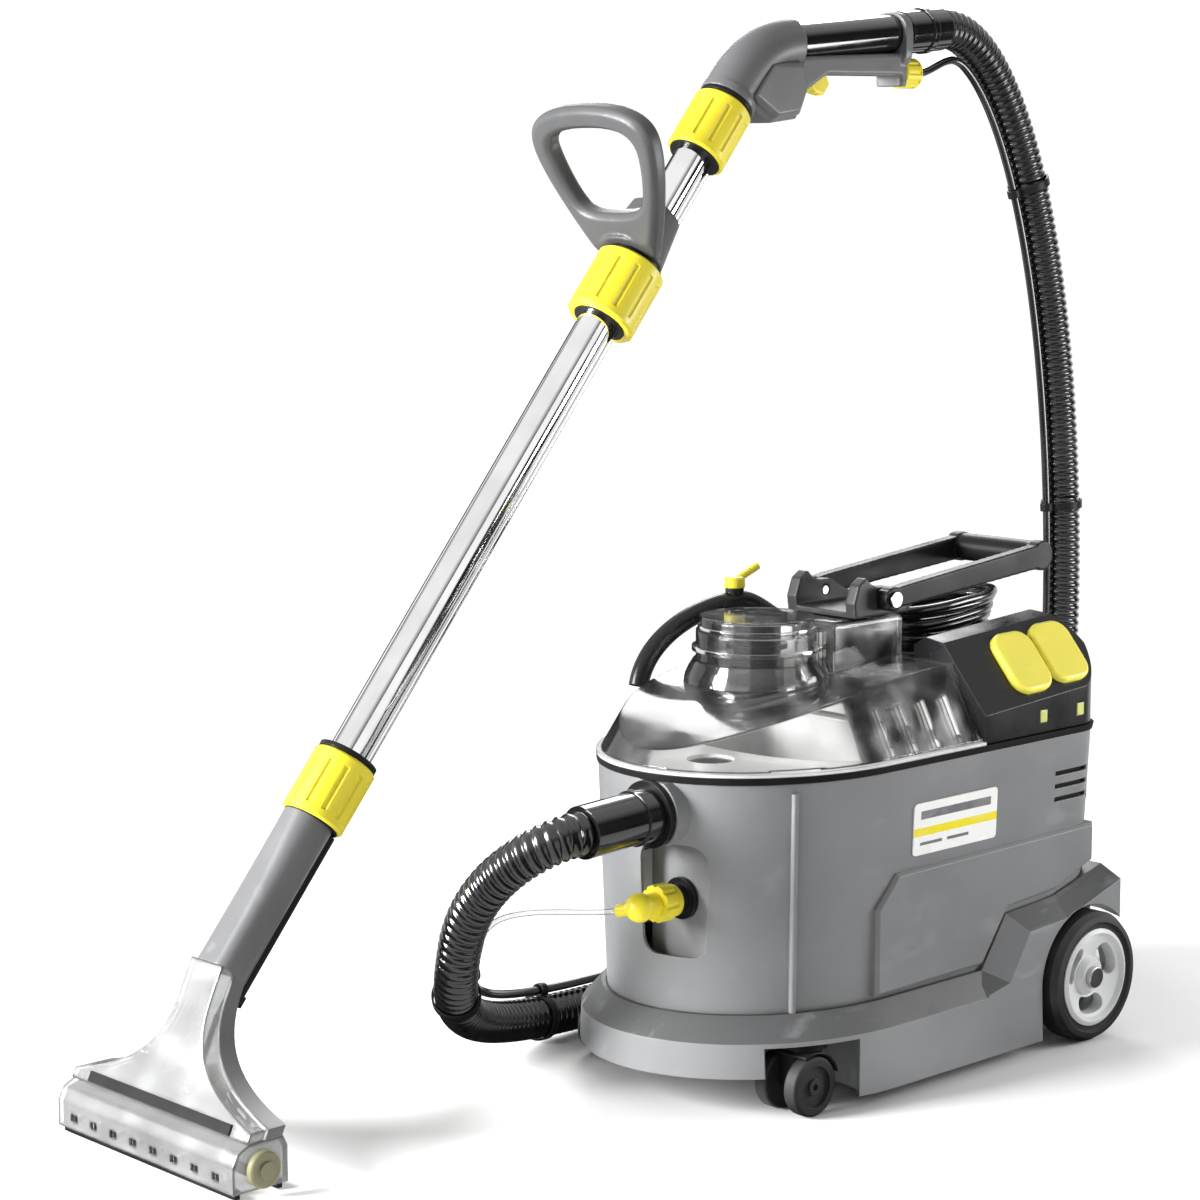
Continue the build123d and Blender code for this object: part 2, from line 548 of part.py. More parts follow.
# ---------------------------------------------------------------- rear hood and switches
def hood_section(inset):
    """Half cross-section of the hood, mirrored, as a long bar along Y."""
    s, w = HOOD_SHOULDER, HOOD_WAIST
    half = [
        (w[0] - inset, LID_Z - 30), (w[0] - inset, w[1] - inset * 0.4),
        (s[0] - inset * 0.4, s[1] - inset), (s[0] - 20, HOOD_TOP - inset),
        (RECESS_HALF + inset * 1.2, HOOD_TOP - 8 - inset), (RECESS_HALF + inset, RECESS_Z - inset),
    ]
    points = half + [(-x, z) for x, z in reversed(half)]
    face = make_face(Polyline(*[(x, HOOD_FRONT, z) for x, z in points], close=True))
    return extrude(face, amount=180, dir=(0, 1, HOOD_RISE))


def hood_block(inset):
    """The hood's outer form drawn in by inset: cross-section, plan and rounded rear top together."""
    plan = extrude(d_face(134.5 - inset, -240, HOOD_REAR - inset, LID_Z - 3 - inset, REAR_CORNER), 120)
    top, rear = HOOD_TOP + 14 - inset, HOOD_REAR - inset
    rounded = make_face([
        Line((0, HOOD_FRONT + inset, 280), (0, HOOD_FRONT + inset, top)),
        Line((0, HOOD_FRONT + inset, top), (0, rear - 46, top)),
        ThreePointArc((0, rear - 46, top), (0, rear - 13, top - 14), (0, rear, top - 50)),
        Line((0, rear, top - 50), (0, rear, 280)),
        Line((0, rear, 280), (0, HOOD_FRONT + inset, 280)),
    ])
    side = Pos(-200, 0, 0) * extrude(rounded, amount=400, dir=(1, 0, 0))
    return hood_section(inset) & plan & side


def console_plane(y, lift=0.0):
    """Plane on the sloped console face at a place along Y: x down the slope, y to the rear."""
    rise = HOOD_RISE * (y - HOOD_FRONT)
    s = Vector(HOOD_SHOULDER[0], y, HOOD_SHOULDER[1] + rise)
    w = Vector(HOOD_WAIST[0], y, HOOD_WAIST[1] + rise)
    down = (w - s).normalized()
    normal = down.cross(Vector(0, 1, HOOD_RISE)).normalized()
    return Plane(origin=(s + w) * 0.5 + normal * lift, x_dir=down, z_dir=normal)


def button_block(y, low, high, grow=0.0):
    """Rounded rectangular block across the console face, from low to high above it."""
    shape = RectangleRounded(BUTTON_L + 2 * grow, BUTTON_W + 2 * grow, BUTTON_R + grow)
    return extrude(console_plane(y, low) * shape, high - low)


def rear_hood():
    """Black cover over the motor bay, with sloped consoles and a top recess for the cord."""
    hood = hood_block(0) - (hood_block(WALL) + block(-131, 131, HOOD_FRONT + WALL, 190, 280, LID_Z + 2))
    for y in BUTTON_Y:
        hood -= button_block(y, -BUTTON_SUNK - 6, 10, GAP)
    hood -= lamp_block(BUTTON_Y[0], 0.3) + lamp_block(BUTTON_Y[1], 0.3)
    hood -= rod((0, HOOD_FRONT - 1, DUCT_MOUTH_Z), (0, HOOD_FRONT + 10, DUCT_MOUTH_Z), 14)
    return hood.solids().sort_by(SortBy.VOLUME)[-1]


def switch_button(y):
    """Large crowned push button on the console."""
    button = button_block(y, -BUTTON_SUNK, BUTTON_PROUD)
    top = button.faces().sort_by_distance(console_plane(y, BUTTON_PROUD).origin)[0]
    return fillet(top.edges(), 3.5)


def lamp_block(y, grow=0.0):
    """Small indicator lens below a button."""
    return Pos(HOOD_WAIST[0] - 1, y + 4, 306) * Box(4 + 2 * grow, 9 + 2 * grow, 11 + 2 * grow)


def indicator_lamps():
    """The two lenses under the buttons."""
    return group(*[lamp_block(y) for y in BUTTON_Y])


def power_cord():
    """Hank of mains cord standing in the hood's recess: an upright-sided ring, long along Y."""
    outer = SlotOverall(2 * CORD_HALF_L, 2 * CORD_HALF_W)
    inner = SlotOverall(2 * (CORD_HALF_L - CORD_BUNDLE), 2 * (CORD_HALF_W - CORD_BUNDLE))
    hank = extrude(outer - inner, CORD_H)
    hank = fillet(hank.edges().group_by(Axis.Z)[-1] + hank.edges().group_by(Axis.Z)[0], 6.0)
    foot_z = RECESS_Z + HOOD_RISE * (CORD_Y - HOOD_FRONT) + 1.0
    return Pos(0, CORD_Y, foot_z) * Rot(degrees(atan(HOOD_RISE)), 0, 0) * Rot(0, 0, 90) * hank


# ---------------------------------------------------------------- carry handle
def ear(side, thickness=EAR_T):
    """One upright ear of the handle bracket, with a hooked top."""
    profile = [
        (-10, DUCT_TOP + GAP), (-12, 412), (-6, 428), (4, 434), (10, 428), (20, 424), (34, 424), (46, 418),
        (70, DUCT_TOP + 8), (LID_REAR, DUCT_TOP + GAP),
    ]
    x = side * EAR_X
    return side_prism(profile, x - thickness / 2, x + thickness / 2)


def handle_bracket():
    """Dark grey saddle on the duct that carries the handle's pivots."""
    saddle = block(-EAR_X - 6, EAR_X + 6, -10, LID_REAR, DUCT_TOP + GAP, DUCT_TOP + 6)
    holes = rod((-60, PIVOT_Y, PIVOT_Z), (60, PIVOT_Y, PIVOT_Z), PIVOT_R)
    return saddle + ear(1) + ear(-1) - holes


def handle_pins():
    """Steel pivot pins of the carry handle."""
    inner, outer = EAR_X - EAR_T / 2, EAR_X + EAR_T / 2 + 14
    pin = rod((inner, PIVOT_Y, PIVOT_Z), (outer, PIVOT_Y, PIVOT_Z), PIVOT_R)
    pin += rod((outer, PIVOT_Y, PIVOT_Z), (outer + 1.6, PIVOT_Y, PIVOT_Z), PIVOT_R + 3)
    return group(pin, mirror(pin, Plane.YZ))


def carry_handle():
    """Black bail: two arms from the pivots to a thick cross grip at the rear."""
    x0, x1 = EAR_X + EAR_T / 2 + 1, EAR_X + EAR_T / 2 + 13
    arm = [
        (PIVOT_Y - 10, PIVOT_Z - 8), (PIVOT_Y - 10, PIVOT_Z + 8), (PIVOT_Y + 20, PIVOT_Z + 12),
        (CROSSBAR_Y, CROSSBAR_Z + 11), (CROSSBAR_Y, CROSSBAR_Z - 11), (PIVOT_Y + 20, PIVOT_Z - 7),
    ]
    arm = side_prism(arm, x0, x1)
    arm += rod((x0, PIVOT_Y, PIVOT_Z), (x1, PIVOT_Y, PIVOT_Z), 11)
    arm += rod((x0, CROSSBAR_Y, CROSSBAR_Z), (x1, CROSSBAR_Y, CROSSBAR_Z), CROSSBAR_R)
    arm -= rod((x0 - 1, PIVOT_Y, PIVOT_Z), (x1 + 1, PIVOT_Y, PIVOT_Z), PIVOT_R + 0.05)
    grip = rod((-x1, CROSSBAR_Y, CROSSBAR_Z), (x1, CROSSBAR_Y, CROSSBAR_Z), CROSSBAR_R - 1)
    return both_sides(arm) + grip


# ---------------------------------------------------------------- hoses
def suction_path():
    """Centre line of the suction hose: nose loop, floor run, rise, then over to the grip."""
    start = port_plane(88).origin
    floor_start, floor_end = (FLOOR_RUN_X, -120, FLOOR_RUN_Z), (FLOOR_RUN_X, 320, FLOOR_RUN_Z)
    apex, crown = Vector(-76, -372, 142), (WAND_X, 530, 330)
    heading = Vector(-0.36, 0.15, -0.92).normalized()
    return [
        Bezier(start, start + port_plane(0).z_dir * 48, apex - heading * 76, apex),
        Bezier(apex, apex + heading * 66, (FLOOR_RUN_X, -290, FLOOR_RUN_Z), floor_start),
        Line(floor_start, floor_end),
        Bezier(floor_end, (FLOOR_RUN_X, 480, FLOOR_RUN_Z), (WAND_X, 530, 140), crown),
        Bezier(crown, (WAND_X, 530, 680), hose_end() + GRIP_DIR * 110, hose_end()),
    ]


def hose_end():
    """Where the suction hose meets its cuff at the grip."""
    return CUFF_START + GRIP_DIR * CUFF_LENGTH


def suction_hose():
    """Hollow suction hose."""
    path = Wire(suction_path())
    start = Plane(origin=path @ 0, z_dir=path % 0)
    return sweep(start * (Circle(HOSE_R) - Circle(HOSE_BORE)), path=path)


def inner_lane(length, place):
    """Point beside the suction hose on the inside of its bend, where the solution hose lies."""
    return length @ place + Vector(1, 0, 0).cross(length % place).normalized() * HOSE_SPACING


def follow(length, end=1.0):
    """Curve that runs beside one length of the suction hose."""
    points = [inner_lane(length, end * k / 5) for k in range(6)]
    return Spline(*points, tangents=[length % 0, length % end])


def solution_path():
    """Centre line of the solution hose: from the outlet plug, then inside the suction hose's bends."""
    nose, loop, floor, rise, top = suction_path()
    plug = plug_end()
    joined, leaving = inner_lane(loop, 0), inner_lane(top, TOP_SHARE)
    nut = Vector(WAND_X, CLIP_Y + 34.5, VALVE_Z)
    return [
        Bezier(plug, plug + PLUG_ARM * 2, joined - loop % 0 * 45, joined),
        follow(loop),
        Line(inner_lane(floor, 0), inner_lane(floor, 1)),
        follow(rise),
        follow(top, TOP_SHARE),
        Bezier(leaving, leaving + top % TOP_SHARE * 30, nut + Vector(0, 30, 0), nut),
    ]


def solution_hose():
    """Thin pressure hose from the machine's outlet to the spray valve in the grip."""
    path = Wire(solution_path())
    return sweep(Plane(origin=path @ 0, z_dir=path % 0) * Circle(SOLUTION_R), path=path)


def hose_clip(length, place):
    """Double ring that ties the two hoses together at one place."""
    along = length % place
    middle, side = Plane(length @ place, z_dir=along), Plane(inner_lane(length, place), z_dir=along)
    clip = middle * Cylinder(HOSE_R + 2.4, 8) + side * Cylinder(SLEEVE_R, 8)
    return clip - middle * Cylinder(HOSE_R + 0.5, 20) - side * Cylinder(SOLUTION_R + 1.0, 20)


def hose_clips():
    """Black clips along both hoses."""
    nose, loop, floor, rise, top = suction_path()
    places = [(loop, 0.2), (loop, 0.8), (floor, 0.5), (rise, 0.4)]
    places += [(top, TOP_SHARE * 0.2), (top, TOP_SHARE * 0.8)]
    return group(*[hose_clip(length, place) for length, place in places])


def hose_cuff():
    """Smooth black cuff that plugs into the nose socket."""
    cuff = port_disc(-14, 13, PORT_R - 3.6) + port_disc(12.5, 30, PORT_R) + port_disc(29, 87.5, PORT_R - 1.5)
    return cuff - port_disc(-15, 89, HOSE_BORE)


# ---------------------------------------------------------------- wand
def on_wand(s, offset=0.0, x=0.0):
    """Point on the wand's axis at s, moved by offset across it (positive is up and forwards)."""
    a = radians(WAND_LEAN)
    return (
        WAND_X + x,
        WAND_Y + s * cos(a) - offset * sin(a),
        WAND_Z + s * sin(a) + offset * cos(a),
    )


def wand_bar(s0, s1, radius, offset=0.0):
    """Round bar along the wand's axis."""
    return rod(on_wand(s0, offset), on_wand(s1, offset), radius)


def wand_tube(s0, s1, radius, bore, offset=0.0):
    """Round tube along the wand's axis."""
    return wand_bar(s0, s1, radius, offset) - wand_bar(s0 - 1, s1 + 1, bore, offset)


def tube_passages(s0, s1):
    """Space taken by the vacuum tube and the spray tube between two places on the wand."""
    return wand_bar(s0, s1, TUBE_R) + wand_bar(s0, s1, SPRAY_R, SPRAY_OFFSET)


def tube_pair(s0, s1):
    """Chromed vacuum tube with the thin spray tube beside it."""
    vacuum = wand_tube(s0, s1, TUBE_R, TUBE_R - TUBE_T)
    return group(vacuum, wand_tube(s0, s1, SPRAY_R, SPRAY_R - 1, SPRAY_OFFSET))


def lower_tube():
    """Tubes from the floor tool to the middle union."""
    return tube_pair(-2, MIDDLE_NUT_S - 1)


def upper_tube():
    """Tubes from the middle union to the grip."""
    return tube_pair(MIDDLE_NUT_S + 1, UPPER_NUT_S + 2)


def union_core(s, half):
    """Black bush inside a union nut, bored for both tubes."""
    core = wand_bar(s - half, s + half, CORE_R, NUT_OFFSET)
    core += wand_bar(s + half - 3, s + half + 1, CORE_R + 2, NUT_OFFSET)
    return core - tube_passages(s - half - 1, s + half + 2)


def union_cores():
    """The three bushes."""
    return group(
        union_core(0, NUT_HALF), union_core(MIDDLE_NUT_S, MIDDLE_NUT_HALF), union_core(UPPER_NUT_S, NUT_HALF)
    )


def union_nut(s, radius, half):
    """Yellow union nut: a barrel with grip flutes and a plain collar at each end."""
    nut = wand_bar(s - half + 1, s + half - 4, radius, NUT_OFFSET)
    nut = chamfer(nut.edges(), 2.0)
    for turn in range(0, 360, 30):
        a = radians(turn)
        x, offset = (radius + 1.5) * cos(a), NUT_OFFSET + (radius + 1.5) * sin(a)
        nut -= rod(on_wand(s - half + 9, offset, x), on_wand(s + half - 14, offset, x), 3.0)
    return nut - wand_bar(s - half - 1, s + half + 1, CORE_R + 0.08, NUT_OFFSET)


def neck_plane(s):
    """Plane across the wand's axis: x along +X, y across towards the front."""
    a = radians(WAND_LEAN)
    return Plane(origin=on_wand(s), x_dir=(1, 0, 0), z_dir=(0, cos(a), sin(a)))


def floor_neck():
    """Grey hollow neck between the lower union and the fan of the floor tool."""
    outer = loft([
        neck_plane(NECK_END_S) * RectangleRounded(42, 36, 12),
        neck_plane(-80) * RectangleRounded(42, 38, 15),
        neck_plane(-NUT_HALF) * RectangleRounded(43, 43, 20),
    ])
    bore = loft([
        neck_plane(NECK_END_S - 1) * RectangleRounded(36, 30, 9),
        neck_plane(-80) * RectangleRounded(36, 32, 12),
        neck_plane(-NUT_HALF + 1) * RectangleRounded(35, 35, 17),
    ])
    return outer - bore - wand_bar(NECK_END_S - 5, 0, PIPE_R, PIPE_OFFSET)


def spray_pipe():
    """Black pipe behind the neck that ends in the spray nozzle."""
    bar = wand_bar(NECK_END_S - 8, -NUT_HALF, PIPE_R, PIPE_OFFSET)
    bar += wand_bar(NECK_END_S - 16, NECK_END_S - 7, PIPE_R + 2, PIPE_OFFSET)
    return bar + wand_bar(NECK_END_S - 24, NECK_END_S - 15, 4.0, PIPE_OFFSET)


def fan_block(inset):
    """Flared duct between the neck and the suction head, drawn in by inset."""
    edge, throat, skirt_z = LIP_HALF - inset, 21 - inset, 52 - inset
    half = [
        Line((0, 175), (throat, 175)),
        Line((throat, 175), (throat, 130)),
        Bezier((throat, 130), (throat, 84 - inset), (62 - inset, 66 - inset), (edge, skirt_z)),
        Line((edge, skirt_z), (edge, LIP_TOP)),
        Line((edge, LIP_TOP), (0, LIP_TOP)),
        Line((0, LIP_TOP), (0, 175)),
    ]
    upright = Plane(origin=(WAND_X, -700, 0), x_dir=(1, 0, 0), z_dir=(0, -1, 0))
    front = upright * make_face(half)
    front += mirror(front, Plane(origin=(WAND_X, 0, 0), z_dir=(1, 0, 0)))
    slab = [
        (FAN_TOP_Y + inset, FAN_TOP_Z), (FAN_FOOT_Y + inset, LIP_TOP), (-594 - inset, LIP_TOP),
        (-549 - inset, FAN_TOP_Z), (-540 - inset, 170), (-570 + inset, 170),
    ]
    above = neck_plane(NECK_END_S) * Pos(0, 0, 100) * Box(400, 400, 200)
    return extrude(front, amount=200, dir=(0, 1, 0)) & side_prism(slab, WAND_X - 130, WAND_X + 130) - above


def on_fan(up, out):
    """(Y, Z) of a point up the fan's sloping front face from its foot, and out from that face."""
    slope = atan2(FAN_TOP_Z - LIP_TOP, FAN_TOP_Y - FAN_FOOT_Y)
    y = FAN_FOOT_Y + up * cos(slope) - out * sin(slope)
    return y, LIP_TOP + up * sin(slope) + out * cos(slope)


def fan_front():
    """Half-space in front of the fan's parting line."""
    return side_prism([(-700, 30), (-617, 30), (-566, 142), (-550, 175), (-700, 175)], -400, 200)


def floor_window():
    """Clear front shell of the fan."""
    return (fan_block(0) - fan_block(2.5)) & fan_front()


def floor_back():
    """Grey rear shell of the fan, with a rib down its middle."""
    rib = side_prism([(-560, 128), (-572, 112), (-602, 48), (-591, 46), (-556, 118)], WAND_X - 4, WAND_X + 4)
    shell = (fan_block(0) - fan_block(2.5)) - fan_front()
    return shell + (rib & fan_block(2.4) - fan_front())


def lip_profile(inset):
    """Side view of the suction head, drawn in by inset."""
    front, rear, top = LIP_FRONT + inset, LIP_REAR - inset, LIP_TOP - inset
    return [
        (front, LIP_BOTTOM), (front, 28), (front + 5, 38), (front + 16, top),
        (rear - 4, top), (rear, top - 8), (rear, LIP_BOTTOM),
    ]


def hole_centres():
    """X of each air hole along the suction head."""
    return [WAND_X + (k - (LIP_HOLES - 1) / 2) * HOLE_PITCH for k in range(LIP_HOLES)]


def floor_lip():
    """Clear suction head: a long hood, open below, with a row of air holes in its front."""
    head = side_prism(lip_profile(0), WAND_X - LIP_HALF, WAND_X + LIP_HALF)
    head -= side_prism(
        [(y, z - 0.01 if z > LIP_BOTTOM else z - 5) for y, z in lip_profile(3)],
        WAND_X - LIP_HALF + 3, WAND_X + LIP_HALF - 3,
    )
    head -= fan_block(2.5) + block(WAND_X - 112, WAND_X + 112, -620, -600, LIP_TOP - 6, LIP_TOP + 2)
    for x in hole_centres():
        head -= block(x - HOLE_HALF, x + HOLE_HALF, LIP_FRONT - 5, LIP_FRONT + 5, HOLE_LOW, HOLE_HIGH)
    return head


def lip_strips():
    """Dark strip across the foot of the fan, and two wiping blades, the front one with a tongue per hole."""
    foot, top = STRIP_LOW, STRIP_HIGH
    section = [on_fan(foot, 0.02), on_fan(foot, STRIP_T), on_fan(top, STRIP_T), on_fan(top, 0.02)]
    strip = side_prism(section, WAND_X - STRIP_HALF, WAND_X + STRIP_HALF)
    reach = LIP_HALF - 3
    front, rear = [
        block(WAND_X - reach, WAND_X + reach, y - BLADE_T / 2, y + BLADE_T / 2, 1.0, BLADE_TOP)
        for y in (LIP_FRONT + 6, LIP_REAR - 6)
    ]
    tongue = block(-HOLE_HALF - 0.5, HOLE_HALF + 0.5, -BLADE_T / 2, BLADE_T / 2, BLADE_TOP - 1, HOLE_HIGH + 1)
    for x in hole_centres():
        front += Pos(x, LIP_FRONT + 6, 0) * tongue
    return group(strip, front, rear)


def end_caps():
    """Round plugs in the two ends of the suction head."""
    x = WAND_X + LIP_HALF
    cap = rod((x, CAP_Y, CAP_Z), (x + 6, CAP_Y, CAP_Z), CAP_R)
    cap = chamfer(cap.edges().group_by(Axis.X)[-1], 1.5) + rod((x, CAP_Y, CAP_Z), (x + 8, CAP_Y, CAP_Z), 7)
    return group(cap, mirror(cap, Plane(origin=(WAND_X, 0, 0), z_dir=(1, 0, 0))))


def half_outline(points):
    """Face between the middle line X = 0 and a chain of cubic curves, four points to each curve."""
    curves = [Bezier(*points[k:k + 4]) for k in range(0, len(points) - 1, 3)]
    start, end = points[0], points[-1]
    return make_face([*curves, Line(end, start)])


def d_handle():
    """Grey D-shaped handle: a thick bar bent round a rounded opening, growing out of a hub on both tubes."""
    a = radians(D_LEAN)
    plane = Plane(origin=on_wand(D_HANDLE_S, 20), x_dir=(1, 0, 0), z_dir=(0, -cos(a), -sin(a)))
    outer = half_outline([
        (0, 126), (44, 126), (78, 116), (75, 88),
        (73, 58), (52, 16), (38, -10),
        (32, -22), (24, -30), (0, -30),
    ])
    inner = half_outline([
        (0, 105), (32, 105), (56, 100), (54, 82),
        (52, 62), (46, 44), (40, 34),
        (34, 25), (20, 24), (0, 24),
    ])
    half = outer - inner
    loop = extrude(plane * (half + mirror(half, Plane.YZ)), amount=D_BAR / 2, both=True)
    loop = chamfer(loop.edges().filter_by(lambda e: abs(e.length - D_BAR) > 0.5), 5)
    hub = loft([
        neck_plane(D_HUB_START) * Pos(0, NUT_OFFSET) * RectangleRounded(58, 56, 24),
        neck_plane(D_HUB_END) * Pos(0, NUT_OFFSET) * RectangleRounded(42, 46, 18),
    ])
    solid = loop + hub - wand_bar(D_HUB_START - 60, D_HUB_START, 60)
    return solid - tube_passages(D_HUB_START - 5, D_HUB_END + 60)


def grip_bend(radius):
    """Round bar along the bend from the wand's axis to the level grip."""
    start = Vector(*on_wand(UPPER_NUT_S + NUT_HALF + 1))
    lean = Vector(0, cos(radians(WAND_LEAN)), sin(radians(WAND_LEAN)))
    path = Bezier(start, start + lean * 42, GRIP_START - GRIP_DIR * 44, GRIP_START)
    return sweep(Plane(origin=start, z_dir=lean) * Circle(radius), path=path.edge())


def grip_elbow():
    """Grey bend that turns the suction path from the wand into the grip."""
    collar = wand_bar(UPPER_NUT_S + NUT_HALF + 1, UPPER_NUT_S + NUT_HALF + 9, 27, NUT_OFFSET)
    collar += wand_bar(UPPER_NUT_S + 3, UPPER_NUT_S + NUT_HALF + 2, TUBE_R)
    elbow = grip_bend(ELBOW_R) + collar - grip_bend(16.5)
    elbow -= wand_bar(UPPER_NUT_S, UPPER_NUT_S + NUT_HALF + 1, 13)
    return elbow.solids().sort_by(SortBy.VOLUME)[-1]


def grip_tube():
    """Black tube along the top of the grip, and the cuff that joins the suction hose to it."""
    cuff = chamfer(rod(CUFF_START, hose_end() - GRIP_DIR * 0.5, 20.5).edges(), 1.5)
    cuff += rod(CUFF_START + GRIP_DIR * 30, CUFF_START + GRIP_DIR * 37, 22.0)
    cuff -= rod(CUFF_START - GRIP_DIR * 5, hose_end() + GRIP_DIR * 5, HOSE_BORE)
    return group(tube(GRIP_START, CUFF_START, 18.0, 15.5), cuff)


def edges_across(solid):
    """Outline edges of a solid's two side faces."""
    faces = solid.faces().sort_by(Axis.X)
    return faces[0].edges() + faces[-1].edges()


def grip_body():
    """Grey handle below the grip tube, with the trigger slot, its steel pin and the clip at its end."""
    side = [
        (24, 852), (64, 832), (98, 836), (112, 862), (140, 877), (CLIP_Y - 4, 878), (CLIP_Y - 4, 868),
        (CLIP_Y + 6, 868), (CLIP_Y + 6, 900), (118, 894), (60, 890),
    ]
    body = side_prism(side, WAND_X - 17, WAND_X + 17)
    body = chamfer(edges_across(body), 2.5)
    swell = [(30, 856), (64, 836), (96, 840), (108, 866), (100, 888), (56, 888)]
    cheek = side_prism(swell, WAND_X - 25, WAND_X + 25)
    body += chamfer(edges_across(cheek), 4)
    clip = block(WAND_X - 23, WAND_X + 23, CLIP_Y - 4, CLIP_Y + 6, 884, 938)
    body += fillet(clip.edges().filter_by(Axis.Y), 18)
    body -= grip_bend(ELBOW_R + 0.02) + rod(GRIP_START, CUFF_START, 18.0)
    body -= wand_bar(UPPER_NUT_S - 30, UPPER_NUT_S + NUT_HALF + 9.02, 34, NUT_OFFSET)
    body -= block(WAND_X - 7, WAND_X + 7, TRIGGER_Y - 10, TRIGGER_Y + 34, 860, 889)
    pin = rod((WAND_X - 16, TRIGGER_Y, TRIGGER_Z), (WAND_X + 16, TRIGGER_Y, TRIGGER_Z), 2.5)
    return group((body - pin).solids().sort_by(SortBy.VOLUME)[-1], pin)


def trigger():
    """Yellow trigger hanging below the grip on its pin."""
    outline = [
        (TRIGGER_Y - 5, TRIGGER_Z + 4), (TRIGGER_Y + 5, TRIGGER_Z + 4), (TRIGGER_Y + 24, TRIGGER_Z - 2),
        (TRIGGER_Y + 30, TRIGGER_Z - 12), (TRIGGER_Y + 22, TRIGGER_Z - 22), (TRIGGER_Y + 10, TRIGGER_Z - 20),
        (TRIGGER_Y - 3, TRIGGER_Z - 7),
    ]
    lever = side_prism(outline, WAND_X - 6, WAND_X + 6)
    lever = chamfer(lever.edges().filter_by(lambda e: e.length > 11.9), 1.5)
    return lever - rod((WAND_X - 18, TRIGGER_Y, TRIGGER_Z), (WAND_X + 18, TRIGGER_Y, TRIGGER_Z), 2.55)


def spray_hose_nut():
    """Yellow nut that joins the solution hose to the spray valve."""
    y0 = CLIP_Y + 6
    nut = rod((WAND_X, y0, VALVE_Z), (WAND_X, y0 + 28, VALVE_Z), 14.5)
    nut = chamfer(nut.edges(), 3.5)
    for turn in range(0, 360, 36):
        a = radians(turn)
        x, z = WAND_X + 15.5 * cos(a), VALVE_Z + 15.5 * sin(a)
        nut -= rod((x, y0 + 5, z), (x, y0 + 23, z), 2.2)
    return nut - rod((WAND_X, y0 + 26, VALVE_Z), (WAND_X, y0 + 30, VALVE_Z), SOLUTION_R)


# ---------------------------------------------------------------- node names
PARTS = {
    "chassis_skirt": chassis,
    "bottom_plate": bottom_plate,
    "rear_axle": rear_axle,
    "wheel_hub_right": lambda: wheel_hub(1),
    "wheel_hub_left": lambda: wheel_hub(-1),
    "wheel_tyre_right": lambda: wheel_tyre(1),
    "wheel_tyre_left": lambda: wheel_tyre(-1),
    "caster_fork_right": lambda: caster_fork(1),
    "caster_fork_left": lambda: caster_fork(-1),
    "caster_wheels_right": lambda: caster_wheels(1),
    "caster_wheels_left": lambda: caster_wheels(-1),
    "tank_housing": tank_housing,
    "rim_seal": rim_seal,
    "hose_socket": hose_socket,
    "outlet_socket": outlet_socket,
    "outlet_coupling": outlet_coupling,
    "coupling_collar": coupling_collar,
    "label_plate": label_plate,
    "fresh_water_tank": fresh_water_tank,
    "recovery_tank": recovery_tank,
    "tank_lid": tank_lid,
    "float_cage": float_cage,
    "float_ball": float_ball,
    "bleed_hose": bleed_hose,
    "bleed_valve_lever": bleed_valve_lever,
    "vacuum_motor": vacuum_motor,
    "fan_impeller": fan_impeller,
    "solution_pump": solution_pump,
    "rear_hood": rear_hood,
    "button_pump": lambda: switch_button(BUTTON_Y[0]),
    "button_vacuum": lambda: switch_button(BUTTON_Y[1]),
    "indicator_lamps": indicator_lamps,
    "power_cord": power_cord,
    "handle_bracket": handle_bracket,
    "handle_pins": handle_pins,
    "carry_handle": carry_handle,
    "suction_hose": suction_hose,
    "solution_hose": solution_hose,
    "hose_clips": hose_clips,
    "hose_cuff": hose_cuff,
    "lower_tube": lower_tube,
    "upper_tube": upper_tube,
    "union_cores": union_cores,
    "union_nut_lower": lambda: union_nut(0, NUT_R, NUT_HALF),
    "union_nut_middle": lambda: union_nut(MIDDLE_NUT_S, MIDDLE_NUT_R, MIDDLE_NUT_HALF),
    "union_nut_upper": lambda: union_nut(UPPER_NUT_S, NUT_R, NUT_HALF),
    "floor_neck": floor_neck,
    "spray_pipe": spray_pipe,
    "floor_window": floor_window,
    "floor_back": floor_back,
    "floor_lip": floor_lip,
    "lip_strips": lip_strips,
    "end_caps": end_caps,
    "d_handle": d_handle,
    "grip_elbow": grip_elbow,
    "grip_tube": grip_tube,
    "grip_body": grip_body,
    "trigger": trigger,
    "spray_hose_nut": spray_hose_nut,
}

os.makedirs("parts", exist_ok=True)
for name, make in PARTS.items():
    export_step(group(make()), f"parts/{name}.step")
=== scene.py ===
"""Looks for the spot extractor: materials for the CAD nodes, modelled hoses and cord, studio and camera."""
import json
from math import cos, pi, radians, sin

